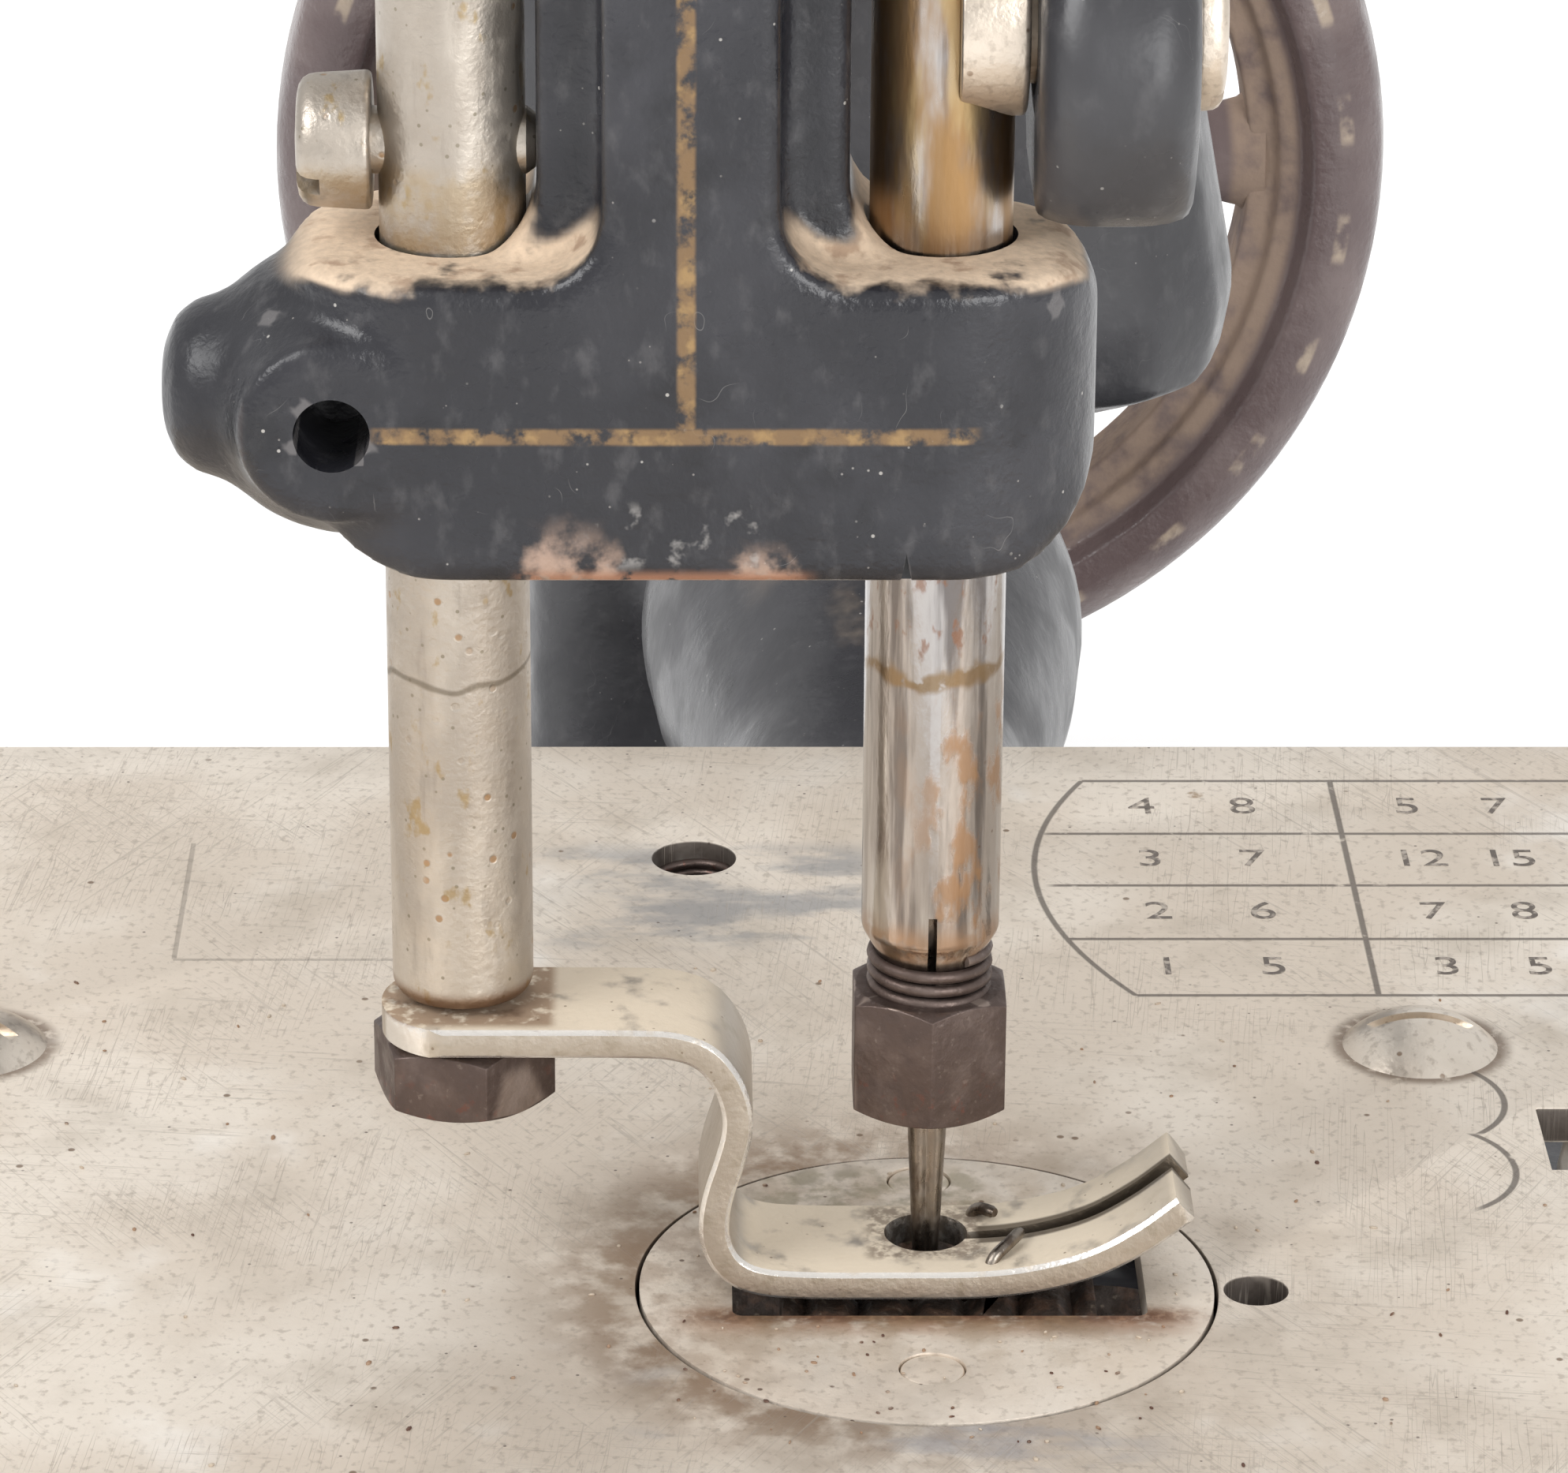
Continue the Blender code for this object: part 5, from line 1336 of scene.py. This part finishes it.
def ring_of(name, finish, pattern, count, radius, move, axis="Z", start=0.0):
    recipe = Recipe(name + "_recipe", finish, Count=int(count), Radius=radius * MM, Pattern=pattern)
    circle = recipe.node("GeometryNodeMeshCircle", {}, {"Vertices": "Count", "Radius": "Radius"})
    index = recipe.node("GeometryNodeInputIndex", {}, {})
    part = recipe.node("ShaderNodeMath", {"operation": "DIVIDE"}, {0: index, 1: "Count"})
    angle = recipe.node("ShaderNodeMath", {"operation": "MULTIPLY_ADD"}, {0: part, 1: math.tau, 2: 0.0})
    turn = recipe.node("ShaderNodeCombineXYZ", {}, {2: angle})
    shape = recipe.node("GeometryNodeObjectInfo", {}, {"Object": "Pattern"}, 4)
    copies = recipe.node("GeometryNodeInstanceOnPoints", {},
                         {"Points": circle, "Instance": shape, "Rotation": turn})
    obj = recipe.grow(name, copies)
    obj.data.transform(Matrix.Rotation(start, 4, "Z"))
    spin = {"Z": Matrix(), "X": Matrix.Rotation(math.pi / 2, 4, "Z") @ Matrix.Rotation(math.pi / 2, 4, "X")}
    obj.data.transform(Matrix.Translation(Vector(move) * MM) @ spin[axis])
    bpy.data.objects.remove(pattern)
    return obj


def knurled(name, profile, centre, count, radius, height, up, rib=0.34):
    """Turned nut with half-round ribs round its grip."""
    nut = lathe(name, soft_profile(profile), centre, ring=True)
    pattern = lathe(name + "_rib", [(0, 0), (rib * 0.6, 0.02), (rib, rib), (rib, height - rib),
                                    (rib * 0.6, height - 0.02), (0, height)], (0, 0, up), steps=8)
    return joined(nut, ring_of(name + "_ribs", NICKEL, pattern, count, radius, centre))


pressure = knurled(
    "pressure_thimble",
    [(3.5, 0, 0), (6.0, 0, 0.2), (6.0, 0.6, 0), (6.5, 0.8, 0.2), (6.5, 6.1, 0.3), (6.1, 6.6, 0.2),
     (3.5, 6.6, 0.2)],
    (0, PRESSER_Y, PLATE + 118.3), 44, 6.42, 4.6, 1.2, 0.26)
dressed(pressure, NICKEL, "pressure_nut", "nickel", "pressure_nut")
tension = knurled(
    "tension_thimble",
    [(2.3, 0, 0), (6.0, 0, 0.3), (6.55, 1.0, 0.3), (6.55, 5.2, 0.4), (5.0, 6.0, 0.3), (5.0, 8.0, 0.3),
     (4.6, 8.4, 0.2), (2.3, 8.4, 0.2)],
    (*TENSION_SPOT, 216.9), 40, 6.5, 3.9, 1.1, 0.26)
dressed(tension, NICKEL, "tension_nut", "nickel", "tension_nut")
for name, node, up in (("disc_low", "tension_disc_lower", 203.2), ("disc_high", "tension_disc_upper", 204.9)):
    disc = lathe(name, soft_profile([(2.3, 0, 0.1), (7.6, 0, 0.6), (9.2, 0.35, 0.1), (9.2, 0.65, 0.1),
                                     (7.6, 1.2, 0.6), (2.3, 1.2, 0.1)]), (*TENSION_SPOT, up), steps=96,
                                     ring=True)
    dressed(disc, NICKEL, "frame", "nickel", node)

# %% [markdown]
# ## Hand wheel
# The wheel's rim is thick and round outside with a stepped brown hollow inside. Spokes are drawn thicker
# where they meet rim and hub, as a moulder's fillet leaves them.

# %% Hand wheel
WHEEL_CENTRE = (213.0, NEEDLE_Y, SHAFT_Z)
SPOKE_START = math.pi / 2 + 0.3


def make_wheel():
    rim = lathe(
        "wheel_rim",
        soft_profile([(42.35, 3.9, 1.4), (43.0, 0, 1.8), (42.35, -4.0, 1.4), (39.8, -6.4, 1.6),
                      (37.0, -6.4, 0.5), (36.2, -4.6, 0.5), (34.6, -4.3, 0.4), (34.2, -3.1, 0.4),
                      (32.3, -2.8, 0.4), (32.1, 3.0, 0.6), (35.8, 5.8, 0.8), (40.4, 5.8, 1.4)], 4),
        WHEEL_CENTRE, "X", 144, ring=True)
    hub = lathe(
        "wheel_hub",
        soft_profile([(4.3, 8, 0.2), (9.0, 8, 0.6), (9.6, 6, 0.8), (9.5, -14, 3), (8.4, -22, 3),
                      (7.0, -27, 0.5), (7.0, -31.5, 0.6), (4.3, -31.5, 0.2)], 4),
        WHEEL_CENTRE, "X", 72, ring=True)
    rings = []
    for reach, wide, thick in ((6, 6.6, 4.4), (9.5, 5.6, 4.1), (12, 4.4, 3.8), (16, 3.9, 3.5),
                               (24, 3.5, 3.1), (29, 3.6, 3.1), (31.5, 4.3, 3.2), (33.5, 6.0, 3.3)):
        rings.append([(reach, wide * math.cos(math.tau * k / 20),
                       thick * math.sin(math.tau * k / 20)) for k in range(20)])
    spoke = loft("spoke", rings)
    spokes = ring_of("spokes", JAPAN_WHEEL, spoke, 5, 0.0, WHEEL_CENTRE, "X", SPOKE_START)
    return joined(rim, hub, spokes)


dressed(make_wheel(), JAPAN_WHEEL, "shaft", "wheel_japan", "hand_wheel", sharp=40)
pulley = lathe(
    "round_belt_pulley",
    soft_profile([(18.5, 8.5, 0.2), (19.5, 7.5, 0.3), (15.5, 4.5, 0.9), (15.5, 3.9, 0.9), (19.5, 1, 0.3),
                  (18.5, 0, 0.2), (4.3, 0, 0.1), (4.3, 8.5, 0.2)]),
    (221.3, NEEDLE_Y, SHAFT_Z), "X", 96, ring=True)
dressed(pulley, STEEL, "shaft", "steel", "belt_pulley")


def copy_piece(node, name, finish, body, slot, width=0.25, segments=2):
    """A merged copy of a drawn piece with its edges broken."""
    obj = copied(node, name)
    bevelled(obj, width, segments)
    return dressed(obj, finish, body, slot, node)


copy_piece("wheel_nut", "lock_nut", DARK_STEEL, "shaft", "dark_steel", 0.5, 3)
shaft = lathe("shaft_rod", soft_profile([(0, 232, 0), (4.0, 232, 0.9), (4.0, 1.6, 0.3), (0, 1.6, 0)]),
              (0, NEEDLE_Y, SHAFT_Z), "X")
dressed(shaft, STEEL, "shaft", "steel", "main_shaft")
copy_piece("looper", "looper_hook", GREASY_STEEL, "shaft", "steel", 0.25, 3)
copy_piece("feed_cam", "feed_cam_disc", STEEL, "shaft", "steel", 0.2)
copy_piece("eccentric", "eccentric_disc", STEEL, "shaft", "steel", 0.3, 3)
for name, node, x in (("bush_front", "front_bush", 18.5), ("bush_rear", "rear_bush", 141.5)):
    bush = lathe(name, soft_profile([(4.3, 0, 0.2), (6.0, 0, 0.4), (6.0, 22, 0.4), (4.3, 22, 0.2)]),
                 (x, NEEDLE_Y, SHAFT_Z), "X", ring=True)
    dressed(bush, BRONZE, "frame", "bronze", node)

# %% [markdown]
# ## Lever, link and pitman
# These forgings were filed and then japanned. The link's heavy eye is oval in section, so its corners are
# broad and worn to a soft grey line.

# %% Lever and link
LINK_BOTTOM = PLATE + 52.2
TIP_X, TIP_Z = 0.304, 184.014


def make_link():
    stations = [
        (0, 2.2, -15.8, -20.5), (0.25, 3.6, -15.2, -21.1), (0.8, 5.2, -14.8, -21.5),
        (1.6, 6.2, -14.7, -21.6), (2.8, 7.2, -14.7, -21.6), (4.2, 7.9, -14.7, -21.6),
        (5.8, 8.4, -14.7, -21.6), (7.4, 8.65, -14.7, -21.6), (9.0, 8.55, -14.7, -21.6),
        (10.6, 7.9, -14.7, -21.6), (12.0, 6.9, -14.8, -21.6), (13.4, 5.7, -15.2, -21.8),
        (15.0, 5.0, -16.4, -22.6), (17.0, 4.7, -18.1, -23.7), (19.0, 4.6, -19.2, -24.4),
        (21.0, 4.5, -19.6, -24.6), (24, 4.4, -19.6, -24.5), (36, 4.4, -19.6, -24.5),
        (49.4, 4.4, -19.6, -24.5), (49.9, 4.5, -20.4, -24.5), (50.3, 4.6, -22.2, -24.5),
        (54, 5.0, -22.2, -24.5), (59.6, 5.6, -22.2, -24.5), (62.0, 5.2, -22.2, -24.5),
        (63.8, 4.2, -22.2, -24.5), (64.8, 2.8, -22.3, -24.4), (65, 2.0, -22.4, -24.3),
    ]
    rings = []
    for up, half, inner, outer in stations:
        fillet = min(2.3, half * 0.6, (inner - outer) * 0.42)
        outline = rounded_outline([(-half, outer, fillet), (half, outer, fillet), (half, inner, fillet),
                                   (-half, inner, fillet)], 5)
        rings.append([(n, y, LINK_BOTTOM + up) for n, y in outline])
    link = loft("link_forging", rings)
    cut(link, rod("stud_eye", (0, -30, STUD_Z), "Y", 24, 3.6),
        rod("tip_eye", (TIP_X, -30, TIP_Z), "Y", 24, 2.3))
    return bevelled(link, 0.2, 2, 50)


dressed(make_link(), JAPAN, "link", "japan", "needle_link")
REST = math.radians(5.29)


def lever_point(arm):
    """X and Z of a spot on the lever's middle line at rest."""
    return LEVER_PIVOT[0] + arm * math.cos(REST), LEVER_PIVOT[1] + arm * math.sin(REST)


tip, rear = lever_point(LEVER_FRONT), lever_point(LEVER_REAR)


def make_lever():
    outline = hull([(*tip, 5.5), (*LEVER_PIVOT, 9.0), (*rear, 5.0)])
    lever = slab("lever_forging", outline, "XZ", LEVER_FACE_Y, LEVER_FACE_Y + 5)
    for k, (x, z, radius) in enumerate(((*tip, 2.3), (*LEVER_PIVOT, 3.0), (*rear, 2.0))):
        cut(lever, rod(f"lever_eye_{k}", (x, -28, z), "Y", 12, radius))
    cut(lever, rod("lever_lap", (tip[0], -27.5, tip[1]), "Y", 5.6, 8.5))
    return bevelled(lever, 0.9, 4, 40)


dressed(make_lever(), JAPAN, "lever", "japan", "needle_lever")
tip_screw = slotted(
    "tip_screw",
    soft_profile([(0, 5.5, 0), (1.9, 5.5, 0.3), (1.9, -0.2, 0), (3.8, -0.2, 0.1), (3.8, -1.7, 0.6),
                  (0, -2.1, 0)], 4),
    (tip[0], LEVER_FACE_Y, tip[1]), "Y", -2.1, 0.9, 0.8, 30, -1)
dressed(tip_screw, STEEL, "lever", "steel", "link_pivot_screw")
pivot_screw = slotted(
    "pivot_screw",
    soft_profile([(0, 12, 0), (1.9, 12, 0.3), (1.9, 5.3, 0), (2.7, 5.3, 0), (2.7, -0.3, 0),
                  (5.6, -0.3, 0.1), (5.6, -2.6, 1.0), (0, -3.2, 0)], 4),
    (LEVER_PIVOT[0], LEVER_FACE_Y, LEVER_PIVOT[1]), "Y", -3.2, 1.1, 1.2, 65, -1)
dressed(pivot_screw, STEEL, "frame", "steel", "lever_pivot_screw")
pin = lathe("rear_pin", soft_profile([(0, 20.5, 0), (2.0, 20.5, 0.3), (2.0, 5.3, 0), (1.7, 5.3, 0),
                                      (1.7, -0.3, 0), (3.4, -0.3, 0.1), (3.4, -1.8, 0.5), (0, -1.8, 0)]),
                                      (rear[0], LEVER_FACE_Y, rear[1]), "Y")
dressed(pin, STEEL, "lever", "steel", "lever_rear_pin")
hook = [(tip[0] + x, LEVER_FACE_Y + y, tip[1] + z) for x, y, z in (
    (-4.6, -1.2, 1), (-9, -1.4, 3), (-13, -1.2, 8), (-12, -1.2, 12), (-8, -1.2, 12.5), (-6.5, -1.2, 9))]
take_up = bent_wire("take_up_wire", smooth_path([Vector(p) for p in hook], 6), 0.8, 16)
dressed(take_up, STEEL, "lever", "steel", "take_up_hook", sharp=0)


def make_pitman():
    """Eccentric strap, tapering rod and open fork, melted together like the forging it is."""
    centre_z = SHAFT_Z + ECCENTRIC_THROW
    strap = rod("pitman_forging", (168.2, NEEDLE_Y, centre_z), "X", 7.6, 13.0, 72)
    neck = loft("neck", [[(168.8, NEEDLE_Y - w, z), (175.2, NEEDLE_Y - w, z), (175.2, NEEDLE_Y + w, z),
                          (168.8, NEEDLE_Y + w, z)] for z, w in ((centre_z + 8, 6.0), (centre_z + 15, 3.6),
                                                                 (centre_z + 24, 2.6), (186, 2.5))])
    rear_x, rear_z = rear
    fork = box("fork", (rear_x - 5.0, NEEDLE_Y - 2.8, 182), (rear_x + 5.0, NEEDLE_Y + 2.8, rear_z + 1.5))
    cast(joined(strap, neck, fork), 0.5, 4)
    return cut(strap, rod("strap_bore", (160, NEEDLE_Y, centre_z), "X", 24, 9.3, 72),
               box("fork_slot", (rear_x - 2.6, NEEDLE_Y - 6, rear_z - 11), (rear_x + 2.6, NEEDLE_Y + 6, 220)))


dressed(make_pitman(), STEEL, "pitman", "steel", "pitman_rod", sharp=50)

# %% [markdown]
# ## Stitch dial and engraving
# The dial turns under the plate and shows one number in the window. The numbers are thin raised letters
# turned from curves to mesh, then placed on the disc. The ruled table on the plate has plain
# figures in its boxes.

# %% Dial, stud and figures


def figures(name, items, size, top):
    """Figures (text, x, y, turn in degrees) as one thin mesh on a level surface."""
    made = []
    for k, (text, x, y, turn) in enumerate(items):
        curve = bpy.data.curves.new(f"{name}_{k}", "FONT")
        curve.body = text
        curve.size = size * MM
        curve.extrude = 0.012 * MM
        curve.align_x = curve.align_y = "CENTER"
        letter = bpy.data.objects.new(f"{name}_{k}", curve)
        bpy.context.scene.collection.objects.link(letter)
        graph = bpy.context.evaluated_depsgraph_get()
        mesh = bpy.data.meshes.new_from_object(letter.evaluated_get(graph))
        bpy.data.objects.remove(letter)
        upright = Matrix.Rotation(math.radians(turn), 4, "Z")
        mesh.transform(Matrix.Translation(Vector((x, y, top)) * MM) @ upright)
        obj = bpy.data.objects.new(f"{name}_{k}", mesh)
        bpy.context.scene.collection.objects.link(obj)
        made.append(obj)
    joined(made[0], *made[1:])
    made[0].name = name
    return made[0]


dial = copied("stitch_dial", "dial_plate")
bevelled(dial, 0.25, 2)
dressed(dial, DIAL, "dial", "dial_metal", "stitch_dial")
dial_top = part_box("stitch_dial")[1][2] / MM
FIRST_FIGURE, FIGURE_STEP, FIGURE_RADIUS = 34, 18, 13.0
around = []
for k in range(14):
    degrees = FIRST_FIGURE + FIGURE_STEP * k
    angle = math.radians(degrees)
    around.append((str(6 + 2 * k), DIAL_CENTRE[0] + FIGURE_RADIUS * math.cos(angle),
                   DIAL_CENTRE[1] + FIGURE_RADIUS * math.sin(angle), degrees - 90))
dressed(figures("dial_figures", around, 3.0, dial_top + 0.012), INK, "dial", "dial_metal", sharp=0)
dial_stud = lathe(
    "dial_pin",
    dome(3.3, 1.3) + [(1.9, 0), (1.9, -4.6), (3.6, -4.6), (3.6, -5.8), (0, -5.8)],
    (*DIAL_CENTRE, PLATE))
dressed(dial_stud, NICKEL, "frame", "nickel", "dial_stud")

table = []
for row, x in enumerate((33.5, 40.5, 47.4, 54.5)):
    for column in range(9):
        table.append((str((3, 7, 12, 5)[row] + column * (2, 1, 3, 2)[row]), x, -39.0 - 4.8 * column, -90))
    for column in range(2):
        table.append((str(row + 1 + 4 * column), x, -24.5 - 5.5 * column, -90))
dressed(figures("table_figures", table, 3.1, PLATE + 0.006), INK, "frame", "dial_metal", sharp=0)

# %% [markdown]
# ## Small hardware
# The remaining pieces sit behind or above the head. Most keep their drawn form with the edges broken.

# %% Small hardware
copy_piece("feed_dog", "feed_teeth", GREASY_STEEL, "feed", "steel", 0.1)
copy_piece("feed_bar", "feed_yoke", GREASY_STEEL, "feed", "steel", 0.3)
copy_piece("presser_lifter", "lifter_cam", NICKEL, "lifter", "nickel", 0.6, 4)
spool = lathe(
    "spool_post",
    soft_profile([(0, 48, 0), (2.1, 48, 1.2), (2.2, 3.4, 0.8), (7.0, 3.0, 0.3), (7.6, 2.2, 0.3),
                  (7.6, 0.6, 0.3), (2.2, 0.6, 0), (2.2, -8, 0), (0, -8, 0)], 4), (*SPOOL_SPOT, 208.2))
dressed(spool, NICKEL, "frame", "nickel", "spool_pin")
felt = lathe("felt_washer", soft_profile([(2.6, 0, 0.2), (9.9, 0, 0.5), (9.9, 1.8, 0.6), (2.6, 1.8, 0.3)], 4),
             (*SPOOL_SPOT, 211.8), steps=96, ring=True)
dressed(felt, FELT, "frame", "felt", "spool_felt")
guide = copied("thread_guide", "guide_wire")
dressed(guide, STEEL, "frame", "steel", "thread_guide", sharp=0)

# %% [markdown]
# ## Grit
# Decades of lint and rust crumbs lie on the plate. A recipe scatters points over a grid with a fixed
# seed and puts a flattened speck on each, with its own size and turn.

# %% Grit on the plate


def scatter(name, centre, size, count, speck, seed, top):
    recipe = Recipe(name + "_recipe", DUST, Size_X=size[0] * MM, Size_Y=size[1] * MM,
                    Density=count / (size[0] * size[1] * MM * MM), Speck=speck * MM, Seed=int(seed))
    grid = recipe.node("GeometryNodeMeshGrid", {}, {"Size X": "Size_X", "Size Y": "Size_Y",
                                                    "Vertices X": 2, "Vertices Y": 2})
    points = recipe.node("GeometryNodeDistributePointsOnFaces", {},
                         {"Mesh": grid, "Density": "Density", "Seed": "Seed"})
    crumb = recipe.node("GeometryNodeMeshIcoSphere", {}, {"Radius": "Speck", "Subdivisions": 1})
    shape = recipe.node("FunctionNodeRandomValue", {"data_type": "FLOAT_VECTOR"},
                        {0: (0.35, 0.35, 0.25), 1: (1.5, 0.9, 0.6), "Seed": "Seed"})
    turn = recipe.node("FunctionNodeRandomValue", {"data_type": "FLOAT_VECTOR"},
                       {0: (0, 0, 0), 1: (0, 0, math.tau), "Seed": "Seed"})
    copies = recipe.node("GeometryNodeInstanceOnPoints", {}, {
        "Points": points, "Instance": crumb, "Rotation": turn, "Scale": shape})
    return recipe.grow(name, copies, (*centre, top))


wide = scatter("grit_wide", (-10, 14), (90, 110), 210, 0.17, 5, PLATE + 0.03)
ring = scatter("grit_near", (-6, NEEDLE_Y), (24, 24), 90, 0.13, 11, PLATE + 0.03)
grit = joined(wide, ring)
bm = bmesh.new()
bm.from_mesh(grit.data)
gone = []
for vert in bm.verts:
    x, y = vert.co.x / MM, vert.co.y / MM
    over_slot = -6.2 < x < 5.6 and -22 < y < -0.8
    over_hole = math.dist((x, y), GUIDE_HOLE) < 3 or math.dist((x, y), NEAR_HOLE) < 2.2
    over_screw = math.dist((x, abs(y)), (PLATE_SCREW_X, PLATE_SCREW_Y)) < 5
    if over_slot or over_hole or over_screw:
        gone.append(vert)
bmesh.ops.delete(bm, geom=gone, context="VERTS")
bm.to_mesh(grit.data)
bm.free()
grit.name = "plate_grit"
dressed(grit, DUST, "frame", "nickel", sharp=0)

# %% [markdown]
# ## Studio
# A pale table without edges, an even white sky and two broad soft lamps: one high on the left for the
# shape of the iron, one low in front so that the bars and the hexagon nut catch a band of light.

# %% Floor, light and camera


def make_floor():
    f = Finish("floor_white", (0.93, 0.93, 0.93), 0.75, 0.0)
    f.tint((0.90, 0.90, 0.90), f.noise(60, 2).rise(0.4, 0.7) * 0.5)
    return f.done(f.noise(3, 2), 0.01)


floor = box("floor", (-2500, -2500, -2), (6000, 2500, 0))
floor.data.materials.append(make_floor())

world = bpy.data.worlds.new("white_room")
world.use_nodes = True
world.node_tree.nodes["Background"].inputs["Color"].default_value = (1.0, 1.0, 1.0, 1.0)
world.node_tree.nodes["Background"].inputs["Strength"].default_value = 0.72
bpy.context.scene.world = world


def lamp(name, place, target, size, power, mirrored=True):
    data = bpy.data.lights.new(name, "AREA")
    data.shape = "RECTANGLE"
    data.size, data.size_y = size
    data.energy = power
    obj = bpy.data.objects.new(name, data)
    obj.visible_glossy = mirrored
    obj.location = place
    obj.rotation_euler = (Vector(target) - Vector(place)).to_track_quat("-Z", "Y").to_euler()
    bpy.context.scene.collection.objects.link(obj)


lamp("key", (-0.45, 0.75, 0.85), (0, 0, 0.09), (0.6, 0.6), 7)
lamp("fill", (-0.9, -0.55, 0.45), (0, 0, 0.09), (0.6, 0.6), 7)
lamp("back", (1.6, 0.2, 1.3), (0.6, 0, 0), (1.2, 1.2), 20, False)

camera_data = bpy.data.cameras.new("camera")
camera_data.lens = 152.35
camera_data.sensor_width = 36.0
camera_data.shift_x = 0.0649
camera_data.clip_start = 0.01
camera = bpy.data.objects.new("camera", camera_data)
camera.location = (-0.2791, 0.00063, 0.2153)
camera.rotation_euler = (math.radians(67.36), 0.0, math.radians(-90))
bpy.context.scene.collection.objects.link(camera)
bpy.context.scene.camera = camera
bpy.context.scene.view_settings.view_transform = "Standard"
